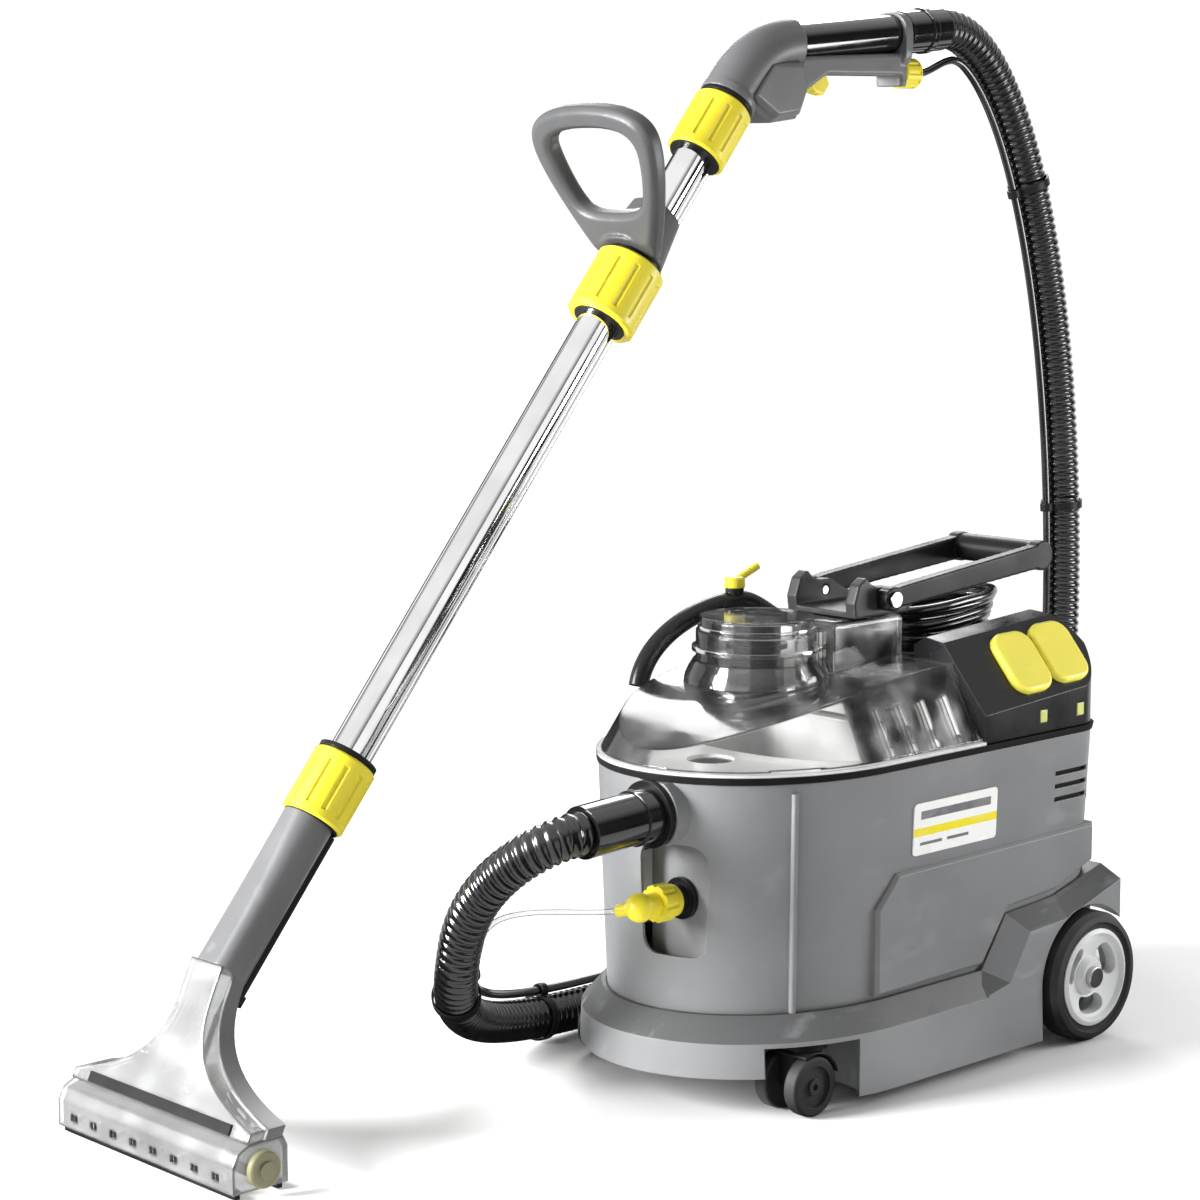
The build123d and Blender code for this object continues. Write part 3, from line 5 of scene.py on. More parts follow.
import bpy
import numpy as np
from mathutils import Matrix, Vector


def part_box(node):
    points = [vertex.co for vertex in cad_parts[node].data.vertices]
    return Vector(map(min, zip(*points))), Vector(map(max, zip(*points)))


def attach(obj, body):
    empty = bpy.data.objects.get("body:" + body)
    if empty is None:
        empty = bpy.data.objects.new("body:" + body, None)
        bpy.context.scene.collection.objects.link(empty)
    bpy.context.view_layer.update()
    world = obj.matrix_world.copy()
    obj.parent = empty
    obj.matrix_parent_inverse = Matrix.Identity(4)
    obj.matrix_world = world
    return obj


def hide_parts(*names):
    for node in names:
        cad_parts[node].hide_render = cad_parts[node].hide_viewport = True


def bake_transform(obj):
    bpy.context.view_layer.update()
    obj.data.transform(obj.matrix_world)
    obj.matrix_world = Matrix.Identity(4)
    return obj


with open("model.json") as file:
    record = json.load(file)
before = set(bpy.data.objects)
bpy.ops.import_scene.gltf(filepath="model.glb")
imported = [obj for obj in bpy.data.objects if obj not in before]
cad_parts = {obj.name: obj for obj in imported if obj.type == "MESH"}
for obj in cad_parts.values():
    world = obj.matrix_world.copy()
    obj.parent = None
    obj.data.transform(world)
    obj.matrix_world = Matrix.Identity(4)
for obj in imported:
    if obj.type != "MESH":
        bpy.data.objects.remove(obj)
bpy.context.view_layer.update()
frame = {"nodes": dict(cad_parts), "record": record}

nodes = frame["nodes"]
BODIES = frame["record"]["behaviour"]["bodies"]
BODY_OF = {node: body for body, members in BODIES.items() for node in members}
MM = 0.001
EDGE_FULL = 0.80                # cosine between flat and rounded normals where an edge counts as sharp
BEVEL_SAMPLES = 6
WHITE = 1.05                    # strength of plain white as the camera sees it


# ---------------------------------------------------------------- material building blocks
class Tree:
    """A new material's node tree with short calls for adding and joining nodes."""

    def __init__(self, name, owner=None):
        self.material = owner or bpy.data.materials.new(name)
        self.material.use_nodes = True
        self.tree = self.material.node_tree
        self.tree.nodes.clear()
        self.coords = self.add("ShaderNodeTexCoord").outputs["Object"]

    def add(self, kind, inputs=None, **settings):
        node = self.tree.nodes.new(kind)
        for key, value in settings.items():
            setattr(node, key, value)
        for key, value in (inputs or {}).items():
            self.feed(node.inputs[key], value)
        return node

    def feed(self, socket, value):
        if isinstance(value, bpy.types.NodeSocket):
            self.tree.links.new(value, socket)
        elif socket.type == "RGBA" and len(value) == 3:
            socket.default_value = (*value, 1.0)
        else:
            socket.default_value = value

    def noise(self, scale, detail=3.0, stretch=(1, 1, 1)):
        place = self.add("ShaderNodeMapping", {"Vector": self.coords, "Scale": stretch})
        made = self.add("ShaderNodeTexNoise", {
            "Vector": place.outputs[0], "Scale": scale, "Detail": detail})
        return made.outputs["Fac"]

    def remap(self, value, low, high, to_low=0.0, to_high=1.0):
        made = self.add("ShaderNodeMapRange", {
            "Value": value, "From Min": low, "From Max": high, "To Min": to_low, "To Max": to_high})
        return made.outputs["Result"]

    def math(self, operation, a, b=0.0):
        return self.add("ShaderNodeMath", {0: a, 1: b}, operation=operation).outputs[0]

    def mix(self, factor, a, b):
        made = self.add("ShaderNodeMix", data_type="RGBA")
        self.feed(made.inputs["Factor"], factor)
        self.feed(made.inputs["A"], a)
        self.feed(made.inputs["B"], b)
        return made.outputs["Result"]

    def bump(self, height, strength, distance, normal=None):
        made = self.add("ShaderNodeBump", {"Height": height, "Strength": strength, "Distance": distance})
        if normal is not None:
            self.feed(made.inputs["Normal"], normal)
        return made.outputs["Normal"]

    def edges(self, radius, start=0.97):
        """Rounded normal, and a mask from 0 at the cosine start to 1 at EDGE_FULL along sharp edges."""
        rounded = self.add("ShaderNodeBevel", {"Radius": radius}, samples=BEVEL_SAMPLES).outputs["Normal"]
        flat = self.add("ShaderNodeNewGeometry").outputs["Normal"]
        dot = self.add("ShaderNodeVectorMath", {0: rounded, 1: flat}, operation="DOT_PRODUCT")
        return rounded, self.remap(dot.outputs["Value"], start, EDGE_FULL)

    def finish(self, shader):
        out = self.add("ShaderNodeOutputMaterial")
        self.feed(out.inputs["Surface"], shader)
        return self.material


def shade(color, amount):
    """A colour made lighter (amount above 1) or darker."""
    return tuple(min(1.0, c * amount) for c in color)


def moulded(name, color, rough=0.42, grain=0.25, edge=1.2, wear=0.35, coat=0.0, scuffs=0.3, scatter=0.0,
            facing=None, sheen=0.5):
    """Injection-moulded plastic: fine grain, slow colour drift, handling scuffs and paler worn edges.

    facing = (direction, from, to, color) turns faces that look along direction to another colour; the script
    uses it for painted shade on some faces and painted light on others.
    """
    t = Tree(name)
    normal, mask = t.edges(edge * MM)
    drift = t.remap(t.noise(9.0, 4.0), 0.3, 0.7)
    marks = t.remap(t.noise(55.0, 8.0, (1.0, 0.35, 1.0)), 0.60, 0.72, 0.0, scuffs)
    worn = t.math("MULTIPLY", mask, t.remap(t.noise(70.0, 5.0), 0.35, 0.65, 0.2, 1.0))
    base = t.mix(drift, shade(color, 0.92), shade(color, 1.08))
    # painted light and shade: faces that look along direction take the other colour
    if facing:
        direction, start, end, other = facing
        flat = t.add("ShaderNodeNewGeometry").outputs["True Normal"]
        turned = t.add("ShaderNodeVectorMath", {0: flat, 1: direction}, operation="DOT_PRODUCT")
        base = t.mix(t.remap(turned.outputs["Value"], start, end), base, other)
    base = t.mix(marks, base, shade(color, 1.25))
    base = t.mix(t.math("MULTIPLY", worn, wear), base, tuple(0.35 + 0.6 * c for c in color))
    height = t.noise(2600.0, 2.0)
    normal = t.bump(height, grain, 0.00012, normal)
    normal = t.bump(t.noise(34.0, 2.0), 0.05, 0.0008, normal)
    roughness = t.math("ADD", t.remap(t.noise(24.0, 6.0), 0.3, 0.7, rough - 0.05, rough + 0.07), marks)
    shader = t.add("ShaderNodeBsdfPrincipled", {
        "Base Color": base, "Roughness": roughness, "Normal": normal, "IOR": 1.5,
        "Specular IOR Level": sheen, "Coat Weight": coat, "Coat Roughness": 0.08,
        "Subsurface Weight": scatter, "Subsurface Radius": (0.004, 0.003, 0.001)})
    return t.finish(shader.outputs[0])


def rubber(name, color, rough=0.38, wear=0.2, dusty=0.35, coat=0.0, sheen=0.5):
    """Black hose rubber or gasket: satin, dusty in places, slightly uneven."""
    t = Tree(name)
    normal, mask = t.edges(0.6 * MM)
    dust = t.remap(t.noise(40.0, 6.0), 0.45, 0.75, 0.0, dusty)
    base = t.mix(dust, color, (0.05, 0.048, 0.045))
    base = t.mix(t.math("MULTIPLY", mask, wear), base, (0.12, 0.12, 0.12))
    normal = t.bump(t.noise(1500.0, 3.0), 0.18, 0.0001, normal)
    roughness = t.remap(t.noise(18.0, 5.0), 0.3, 0.7, rough - 0.08, rough + 0.12)
    shader = t.add("ShaderNodeBsdfPrincipled", {
        "Base Color": base, "Roughness": roughness, "Normal": normal, "IOR": 1.52,
        "Specular IOR Level": sheen, "Coat Weight": coat, "Coat Roughness": 0.12})
    return t.finish(shader.outputs[0])


def metal(name, color, rough, stretch, brushed=0.1):
    """Bare or plated metal with fine drawing lines along stretch and faint smudges."""
    t = Tree(name)
    normal = t.edges(0.4 * MM)[0]
    smudge = t.remap(t.noise(26.0, 6.0), 0.40, 0.75)
    base = t.mix(smudge, color, shade(color, 0.86))
    normal = t.bump(t.noise(900.0, 2.0, stretch), brushed, 0.00004, normal)
    roughness = t.math("ADD", t.math("MULTIPLY", smudge, 0.10), rough)
    shader = t.add("ShaderNodeBsdfPrincipled", {
        "Base Color": base, "Metallic": 1.0, "Roughness": roughness, "Normal": normal})
    return t.finish(shader.outputs[0])


def clear(name, tint, body=0.05, rough=0.04, edge_dark=0.45, line=1.4, milk=(0.82, 0.83, 0.82),
          outline=0.8):
    """Clear moulded plastic: see-through when faced, faintly hazed, with painted shade at its edges and at
    grazing angles that stands in for the refraction left out.

    Light that only passes through on its way to a matt surface is let by, so that the inside stays bright.
    """
    t = Tree(name)
    normal, mask = t.edges(line * MM, 0.995)
    normal = t.bump(t.noise(22.0, 2.0), 0.10, 0.0010, normal)
    # painted shade: the see-through colour and the haze darken along edges and at grazing angles
    edge = t.math("MULTIPLY", mask, outline)
    facing = t.add("ShaderNodeLayerWeight", {"Blend": 0.25, "Normal": normal}).outputs["Facing"]
    through = t.mix(t.math("POWER", facing, 2.6), tint, shade(tint, edge_dark))
    through = t.mix(edge, through, shade(tint, 0.10))
    see = t.add("ShaderNodeBsdfTransparent", {"Color": through}).outputs[0]
    roughness = t.remap(t.noise(30.0, 5.0), 0.35, 0.75, rough, rough + 0.16)
    shine = t.add("ShaderNodeBsdfGlossy", {"Roughness": roughness, "Normal": normal}).outputs[0]
    fresnel = t.add("ShaderNodeFresnel", {"IOR": 1.50, "Normal": normal}).outputs[0]
    cloud = t.mix(edge, milk, shade(milk, 0.25))
    haze = t.add("ShaderNodeBsdfPrincipled", {
        "Base Color": cloud, "Roughness": 0.4, "Normal": normal}).outputs[0]
    clouded = t.remap(t.noise(14.0, 5.0), 0.35, 0.7, body * 0.8, min(1.0, body * 1.2))
    hazy = t.add("ShaderNodeMixShader", {0: clouded, 1: see, 2: haze}).outputs[0]
    seen = t.add("ShaderNodeMixShader", {0: fresnel, 1: hazy, 2: shine}).outputs[0]
    rays = t.add("ShaderNodeLightPath").outputs
    passing = t.math("MAXIMUM", rays["Is Shadow Ray"], rays["Is Diffuse Ray"])
    let_by = t.add("ShaderNodeBsdfTransparent", {"Color": (0.96, 0.96, 0.96)}).outputs[0]
    return t.finish(t.add("ShaderNodeMixShader", {0: passing, 1: seen, 2: let_by}).outputs[0])


def label_film(name, node):
    """Printed badge: white film with a yellow band and plain grey bars, placed from the plate's own box."""
    low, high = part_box(node)
    t = Tree(name)
    normal = t.edges(0.5 * MM)[0]
    split = t.add("ShaderNodeSeparateXYZ", {0: t.coords})
    across = t.remap(split.outputs["Y"], low.y, high.y)
    up = t.remap(split.outputs["Z"], low.z, high.z)

    def band(value, start, end):
        return t.math("MULTIPLY", t.math("GREATER_THAN", value, start), t.math("LESS_THAN", value, end))

    def patch(x0, x1, z0, z1):
        return t.math("MULTIPLY", band(across, x0, x1), band(up, z0, z1))

    color = t.mix(patch(0.0, 1.0, 0.36, 0.52), (0.82, 0.82, 0.80), (0.80, 0.68, 0.02))
    for x0, x1, z0, z1 in ((0.08, 0.92, 0.68, 0.84), (0.08, 0.34, 0.18, 0.24), (0.40, 0.66, 0.18, 0.24)):
        color = t.mix(patch(x0, x1, z0, z1), color, (0.16, 0.16, 0.17))
    color = t.mix(t.remap(t.noise(30.0, 5.0), 0.45, 0.8, 0.0, 0.25), color, (0.62, 0.61, 0.58))
    normal = t.bump(t.noise(700.0, 2.0), 0.06, 0.0001, normal)
    shader = t.add("ShaderNodeBsdfPrincipled", {
        "Base Color": color, "Roughness": t.remap(t.noise(20.0), 0.3, 0.7, 0.22, 0.36), "Normal": normal})
    return t.finish(shader.outputs[0])


# ---------------------------------------------------------------- materials
GREY = (0.185, 0.188, 0.192)
WAND_GREY = (0.110, 0.111, 0.114)
PAINTED_LEDGE_SHADE = (0.036, 0.037, 0.038)   # painted shade on the upward faces of the chassis skirt, the ledge below the housing
PAINTED_FAN_FRONT_LIGHT = (0.34, 0.345, 0.34) # painted light: paler colour for the forward faces of the floor tool's fan, seen through its clear shell
YELLOW = (0.72, 0.61, 0.025)
UP, FORWARD = (0, 0, 1), (0, -1, 0)
housing = moulded("housing_plastic", GREY, rough=0.40, grain=0.30)
# painted light: the skirt is the housing grey made 15% lighter, and its upward faces take the painted ledge
# shade
skirt = moulded("skirt_plastic", shade(GREY, 1.15), rough=0.40, grain=0.30, scuffs=0.45,
                facing=(UP, 0.35, 0.75, PAINTED_LEDGE_SHADE))
wand_grey = moulded("wand_plastic", WAND_GREY, rough=0.34, grain=0.25, scuffs=0.35)
handle_grey = moulded("handle_plastic", shade(WAND_GREY, 0.62), rough=0.36, grain=0.25, wear=0.2,
                      scuffs=0.25, sheen=0.35)
# painted light on the fan's forward faces, which turn paler than its wand grey
fan_grey_front_lit = moulded("fan_plastic", WAND_GREY, rough=0.34, grain=0.04,
                   facing=(FORWARD, 0.2, 0.5, PAINTED_FAN_FRONT_LIGHT))
hood_black = moulded("hood_plastic", (0.011, 0.011, 0.012), rough=0.27, grain=0.06, wear=0.12,
                     scuffs=0.02, sheen=0.28)
cuff_black = moulded("cuff_plastic", (0.008, 0.008, 0.009), rough=0.10, grain=0.03, wear=0.08,
                     coat=0.6, scuffs=0.06)
black = moulded("black_plastic", (0.009, 0.009, 0.0095), rough=0.34, grain=0.22, wear=0.12,
                scuffs=0.12, sheen=0.14)
dark_grey = moulded("dark_grey_plastic", (0.030, 0.030, 0.032), rough=0.36, grain=0.22, wear=0.2,
                    sheen=0.25)
yellow = moulded("yellow_plastic", YELLOW, rough=0.36, grain=0.16, wear=0.2, scatter=0.15, scuffs=0.2)
# lighter copy of the yellow for the buttons: partly their own paler tone, partly painted light for the side
# and sky light they catch
button_yellow_pale_and_lit = moulded("button_plastic", (0.90, 0.80, 0.10), rough=0.30, grain=0.12, wear=0.15, scatter=0.15)
# pale hub grey, raised further to offset the wheel's shadow: partly the hub's own tone, partly painted light
hub_pale_and_lit = moulded("hub_plastic", (0.62, 0.625, 0.63), rough=0.38, grain=0.2)
natural = moulded("tank_natural", (0.78, 0.79, 0.77), rough=0.45, grain=0.03, scatter=0.3)
olive = moulded("cap_olive", (0.17, 0.165, 0.085), rough=0.4)
tyre = rubber("tyre_rubber", (0.014, 0.014, 0.015), rough=0.60, wear=0.3)
hose_rubber = rubber("hose_rubber", (0.005, 0.005, 0.0055), rough=0.20, dusty=0.08, coat=0.6)
seal = rubber("seal_rubber", (0.006, 0.006, 0.006), rough=0.6, dusty=0.1, sheen=0.12)
chrome = metal("chrome_tube", (0.88, 0.88, 0.89), 0.04, (1.0, 0.12, 0.12), 0.04)
steel = metal("steel", (0.56, 0.56, 0.57), 0.30, (0.1, 1.0, 1.0), 0.3)
clear_lid = clear("clear_plastic", (0.98, 0.985, 0.98), body=0.012, edge_dark=0.35, line=2.4, outline=0.95)
milky_tub = clear("milky_plastic", (0.97, 0.975, 0.97), body=0.60, rough=0.12, milk=(0.90, 0.90, 0.89))
clear_tool = clear("clear_tool", (0.92, 0.925, 0.92), body=0.40, edge_dark=0.5, line=4.0,
                   milk=(0.35, 0.355, 0.35), outline=0.95)
clear_line = clear("clear_hose", (0.90, 0.91, 0.90), body=0.25, rough=0.10)
lamp = moulded("lamp_lens", (0.62, 0.66, 0.22), rough=0.15, grain=0.05, scatter=0.4, coat=0.6)

LOOKS = {
    housing: ["tank_housing"],
    skirt: ["chassis_skirt"],
    wand_grey: ["floor_neck", "grip_elbow", "grip_body"],
    handle_grey: ["d_handle"],
    fan_grey_front_lit: ["floor_back"],
    hood_black: ["rear_hood", "bleed_hose"],
    cuff_black: ["hose_cuff", "grip_tube"],
    black: ["caster_fork_right", "caster_fork_left", "hose_socket", "outlet_socket", "float_cage",
            "carry_handle", "hose_clips", "union_cores", "spray_pipe", "solution_pump"],
    dark_grey: ["bottom_plate", "handle_bracket"],
    yellow: ["outlet_coupling", "coupling_collar", "bleed_valve_lever", "union_nut_lower",
             "union_nut_middle", "union_nut_upper", "trigger", "spray_hose_nut"],
    button_yellow_pale_and_lit: ["button_pump", "button_vacuum"],
    hub_pale_and_lit: ["wheel_hub_right", "wheel_hub_left"],
    natural: ["fresh_water_tank", "float_ball"],
    olive: ["end_caps"],
    tyre: ["wheel_tyre_right", "wheel_tyre_left", "caster_wheels_right", "caster_wheels_left"],
    hose_rubber: ["suction_hose", "solution_hose", "power_cord"],
    seal: ["rim_seal", "lip_strips"],
    chrome: ["lower_tube", "upper_tube"],
    steel: ["rear_axle", "vacuum_motor", "fan_impeller", "handle_pins"],
    clear_lid: ["tank_lid"],
    milky_tub: ["recovery_tank"],
    clear_tool: ["floor_window", "floor_lip"],
    lamp: ["indicator_lamps"],
    label_film("label_white", "label_plate"): ["label_plate"],
}


def dress_cad_nodes():
    """Gives every CAD node its material."""
    for material, names in LOOKS.items():
        for name in names:
            mesh = nodes[name].data
            mesh.materials.clear()
            mesh.materials.append(material)


# ---------------------------------------------------------------- curves and tubes
def bezier(p0, p1, p2, p3, count):
    """Points and unit directions along a cubic curve."""
    p0, p1, p2, p3 = (np.array(p, float) for p in (p0, p1, p2, p3))
    t = np.linspace(0, 1, count)[:, None]
    points = (1 - t) ** 3 * p0 + 3 * (1 - t) ** 2 * t * p1 + 3 * (1 - t) * t ** 2 * p2 + t ** 3 * p3
    along = 3 * (1 - t) ** 2 * (p1 - p0) + 6 * (1 - t) * t * (p2 - p1) + 3 * t ** 2 * (p3 - p2)
    return points, along / np.linalg.norm(along, axis=1)[:, None]


def join(*curves):
    """Several curves end to end, without the repeated points."""
    points = [curves[0]] + [curve[1:] for curve in curves[1:]]
    return np.concatenate(points)


def resample(points, step):
    """Points at an even step along a line, with the unit direction and the distance travelled at each."""
    gaps = np.linalg.norm(np.diff(points, axis=0), axis=1)
    travel = np.concatenate([[0], np.cumsum(gaps)])
    places = np.linspace(0, travel[-1], int(travel[-1] / step) + 1)
    even = np.stack([np.interp(places, travel, points[:, k]) for k in range(3)], axis=1)
    along = np.gradient(even, axis=0)
    return even, along / np.linalg.norm(along, axis=1)[:, None], places


def new_mesh(name, vertices, faces, material, smooth=True):
    mesh = bpy.data.meshes.new(name)
    mesh.from_pydata([tuple(v) for v in vertices], [], faces)
    mesh.update()
    for polygon in mesh.polygons:
        polygon.use_smooth = smooth
    piece = bpy.data.objects.new(name, mesh)
    bpy.context.scene.collection.objects.link(piece)
    mesh.materials.append(material)
    return piece


def ring_faces(rings, sides, closed=False):
    """Quads between neighbouring rings of vertices, with capped ends unless the rings close on themselves."""
    faces = []
    for i in range(rings if closed else rings - 1):
        a, b = i * sides, (i + 1) % rings * sides
        faces += [(a + j, a + (j + 1) % sides, b + (j + 1) % sides, b + j) for j in range(sides)]
    if not closed:
        faces.append(tuple(reversed(range(sides))))
        faces.append(tuple(range((rings - 1) * sides, rings * sides)))
    return faces


def turning_frames(along):
    """Two directions across a curve for each of its unit directions, carried along without twisting."""
    side = np.cross(along[0], (0.3, 0.2, 0.9))
    sides = []
    for direction in along:
        side = side - direction * side.dot(direction)
        side /= np.linalg.norm(side)
        sides.append(side.copy())
    sides = np.array(sides)
    return sides, np.cross(along, sides)


def swept(name, line, step, radius, sides, material):
    """Tube whose radius is given by radius(distance along, angle round)."""
    points, along, places = resample(line, step)
    u, v = turning_frames(along)
    angles = np.linspace(0, 2 * pi, sides, endpoint=False)
    rings = []
    for k, place in enumerate(places):
        r = radius(place, angles)[:, None]
        rings.append(points[k] + r * (np.cos(angles)[:, None] * u[k] + np.sin(angles)[:, None] * v[k]))
    return new_mesh(name, np.concatenate(rings), ring_faces(len(points), sides), material)


def lathe(name, profile, centre, material, sides=96, start=0.0, sweep=2 * pi):
    """Closed (radius, z) outline turned round an upright axis, all the way or through part of a turn."""
    whole = sweep > 2 * pi - 0.01
    turns = sides if whole else sides + 1
    vertices = []
    for k in range(turns):
        a = start + sweep * k / sides
        vertices += [(centre[0] + r * MM * cos(a), centre[1] + r * MM * sin(a), z * MM) for r, z in profile]
    return new_mesh(name, vertices, ring_faces(turns, len(profile), closed=whole), material, smooth=False)


def shaded(piece, angle=35):
    """Smooth shading that keeps edges sharper than angle, in degrees."""
    piece.data.shade_smooth()
    piece.data.set_sharp_from_angle(angle=radians(angle))
    return piece


def slab(name, corners, offset, material):
    """Flat plate between a closed chain of corners and the same chain moved by offset."""
    n = len(corners)
    vertices = corners + [Vector(corner) + Vector(offset) for corner in corners]
    faces = [tuple(range(n)), tuple(reversed(range(n, 2 * n)))]
    faces += [(k, k + n, (k + 1) % n + n, (k + 1) % n) for k in range(n)]
    return new_mesh(name, vertices, faces, material, smooth=False)


def softened(node, voxel, passes):
    """Copy of a CAD node with its corners melted to moulded radii, which stands for that node."""
    piece = bpy.data.objects.new(node + "_moulded", nodes[node].data.copy())
    bpy.context.scene.collection.objects.link(piece)
    remesh = piece.modifiers.new("remesh", "REMESH")
    remesh.mode = "VOXEL"
    remesh.voxel_size = voxel * MM
    smooth = piece.modifiers.new("smooth", "SMOOTH")
    smooth.factor = 0.5
    smooth.iterations = passes
    solid = piece.evaluated_get(bpy.context.evaluated_depsgraph_get())
    piece.data = bpy.data.meshes.new_from_object(solid)
    piece.modifiers.clear()
    piece.data.shade_smooth()
    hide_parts(node)
    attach(piece, BODY_OF[node])
    return piece


# ---------------------------------------------------------------- inside the clear lid
TOWER = (-20 * MM, -72 * MM)
AWAY = radians(46 + 90)         # middle of the tower's far side
SLEEVE_HALF = 1.7               # half the angle that the white sleeve covers, in radians
BAFFLE_Y, BAFFLE_T = 47.5, 2.5  # front face and thickness of the white baffle


def lid_details():
    """The separator tower's collars, skirt, white sleeve and black float guard, and the dome's baffle."""
    collars = [
        ("tower_top_collar", [(50.2, 391), (52.5, 391), (52.5, 394), (50.2, 394)]),
        ("tower_middle_collar", [(54.2, 372), (57.5, 372), (57.5, 376), (54.2, 376)]),
        ("tower_skirt", [(54.2, 364), (56.5, 364), (63.5, 352), (65.0, 344), (62.5, 344), (61.5, 350),
                         (54.2, 361)]),
    ]
    pieces = [shaded(lathe(name, profile, TOWER, clear_lid)) for name, profile in collars]
    sleeve = [(48.6, 322), (50.2, 322), (50.2, 386), (48.6, 386)]
    pieces.append(shaded(lathe("tower_sleeve", sleeve, TOWER, natural, sides=48,
                               start=AWAY - SLEEVE_HALF, sweep=2 * SLEEVE_HALF)))
    half = [(126, 298), (114, 320), (103, 340), (94, 350), (60, 353)]
    outline = half + [(-x, z) for x, z in reversed(half)]
    corners = [(x * MM, BAFFLE_Y * MM, z * MM) for x, z in outline]
    pieces.append(slab("lid_baffle", corners, (0, BAFFLE_T * MM, 0), natural))
    guard = [(22.0, 326), (24.0, 326), (24.0, 364), (22.0, 364)]
    pieces.append(shaded(lathe("float_guard", guard, TOWER, black)))
    for piece in pieces:
        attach(piece, "lid")


def vent_shade_sheets():
    """Black sheets close behind the housing's two groups of vent slots: painted shade that makes the slots
    read dark.
    """
    outline = [(150, 221), (154, 217), (208, 217), (212, 221),
               (212, 255), (208, 259), (154, 259), (150, 255)]
    thick = 2 * MM
    for name, x in (("vent_shade_right", 126), ("vent_shade_left", -128)):
        shade_sheet = slab(name, [(x * MM, y * MM, z * MM) for y, z in outline], (thick, 0, 0), black)
        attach(shade_sheet, "machine")


# ---------------------------------------------------------------- hoses, on the CAD's own centre lines
WAND_X = -152 * MM
HOSE_R, RIB, PITCH = 19.0 * MM, 2.6 * MM, 8.0 * MM      # outer radius, depth and pitch of the ribs
SPACING = 25 * MM                                       # between the centre lines of the two hoses
FLOOR_X, FLOOR_Z = -188 * MM, 22 * MM                   # where the suction hose lies on the floor
THIN_LENGTH, THIN_TAPER = 0.13, 0.03                    # solution hose's clear length and taper, in metres
THIN_R, THIN_GROWTH = 2.6, 1.3                          # its radius there and what the taper adds, in mm
GRIP_START = np.array((-152, 104, 905)) * MM
GRIP_DIR = np.array((0, 153, 14)) / np.linalg.norm((0, 153, 14))
CUFF_END = GRIP_START + GRIP_DIR * 215 * MM


def suction_lengths():
    """The five lengths of the suction hose's centre line: nose, loop, floor, rise and top."""
    tilt = radians(3)
    out = np.array((0, -cos(tilt), -sin(tilt)))
    start = np.array((22, -236, 257)) * MM + out * 88 * MM
    apex = np.array((-76, -372, 142)) * MM
    heading = np.array((-0.36, 0.15, -0.92)) / np.linalg.norm((-0.36, 0.15, -0.92))
    floor_start = np.array((FLOOR_X, -120 * MM, FLOOR_Z))
    floor_end = np.array((FLOOR_X, 320 * MM, FLOOR_Z))
    crown = np.array((-152, 530, 330)) * MM
    return [
        bezier(start, start + out * 48 * MM, apex - heading * 76 * MM, apex, 40),
        bezier(apex, apex + heading * 66 * MM, (FLOOR_X, -290 * MM, FLOOR_Z), floor_start, 60),
        bezier(floor_start, (FLOOR_X, 0.02, FLOOR_Z), (FLOOR_X, 0.18, FLOOR_Z), floor_end, 30),
        bezier(floor_end, (FLOOR_X, 480 * MM, FLOOR_Z), (WAND_X, 530 * MM, 140 * MM), crown, 60),
        bezier(crown, (WAND_X, 530 * MM, 680 * MM), CUFF_END + GRIP_DIR * 110 * MM, CUFF_END, 90),
    ]


def corrugation(place, angles):
    """Radius of the spiral-ribbed hose: rounded ribs with narrow grooves between them."""
    phase = 2 * pi * place / PITCH + angles
    rib = np.abs(np.cos(phase / 2)) ** 0.8
    return HOSE_R - RIB * (1 - rib)


def suction_hose():
    line = join(*[length[0] for length in suction_lengths()])
    return swept("suction_hose_ribbed", line, PITCH / 7, corrugation, 28, hose_rubber)


def solution_hose():
    """Thin hose, clear at first, from the outlet plug along the inside of the bends to the grip."""
    lengths = suction_lengths()
    plug = np.array((12, -272, 176)) * MM
    arm = np.array((-22, -4, -6)) * MM
    nut = np.array((-152, 281.5, 881)) * MM

    def lane(length, end=1.0):
        points, along = length
        count = int(round(len(points) * end))
        inside = np.cross((1, 0, 0), along[:count])
        return points[:count] + inside / np.linalg.norm(inside, axis=1)[:, None] * SPACING, along[:count]

    loop, floor, rise = (lane(length) for length in lengths[1:4])
    top = lane(lengths[4], 0.84)
    first = bezier(plug, plug + arm * 2, loop[0][0] - loop[1][0] * 45 * MM, loop[0][0], 30)[0]
    last = bezier(top[0][-1], top[0][-1] + top[1][-1] * 30 * MM, nut + np.array((0, 0.03, 0)), nut, 30)[0]
    line = join(first, loop[0], floor[0], rise[0], top[0], last)
    sides, step = 14, 4 * MM

    def radius(place, angles):
        widened = min(1.0, max(0.0, (place - THIN_LENGTH) / THIN_TAPER))
        return np.full_like(angles, (THIN_R + THIN_GROWTH * widened) * MM)

    piece = swept("solution_hose_line", line, step, radius, sides, hose_rubber)
    piece.data.materials.append(clear_line)
    for polygon in piece.data.polygons[:int(THIN_LENGTH / step) * sides]:
        polygon.material_index = 1
    return piece


def bound_clips():
    """The hose clips as a copy of their CAD mesh, shaded smooth."""
    piece = bpy.data.objects.new("hose_clips_bound", nodes["hose_clips"].data.copy())
    bpy.context.scene.collection.objects.link(piece)
    return shaded(piece)


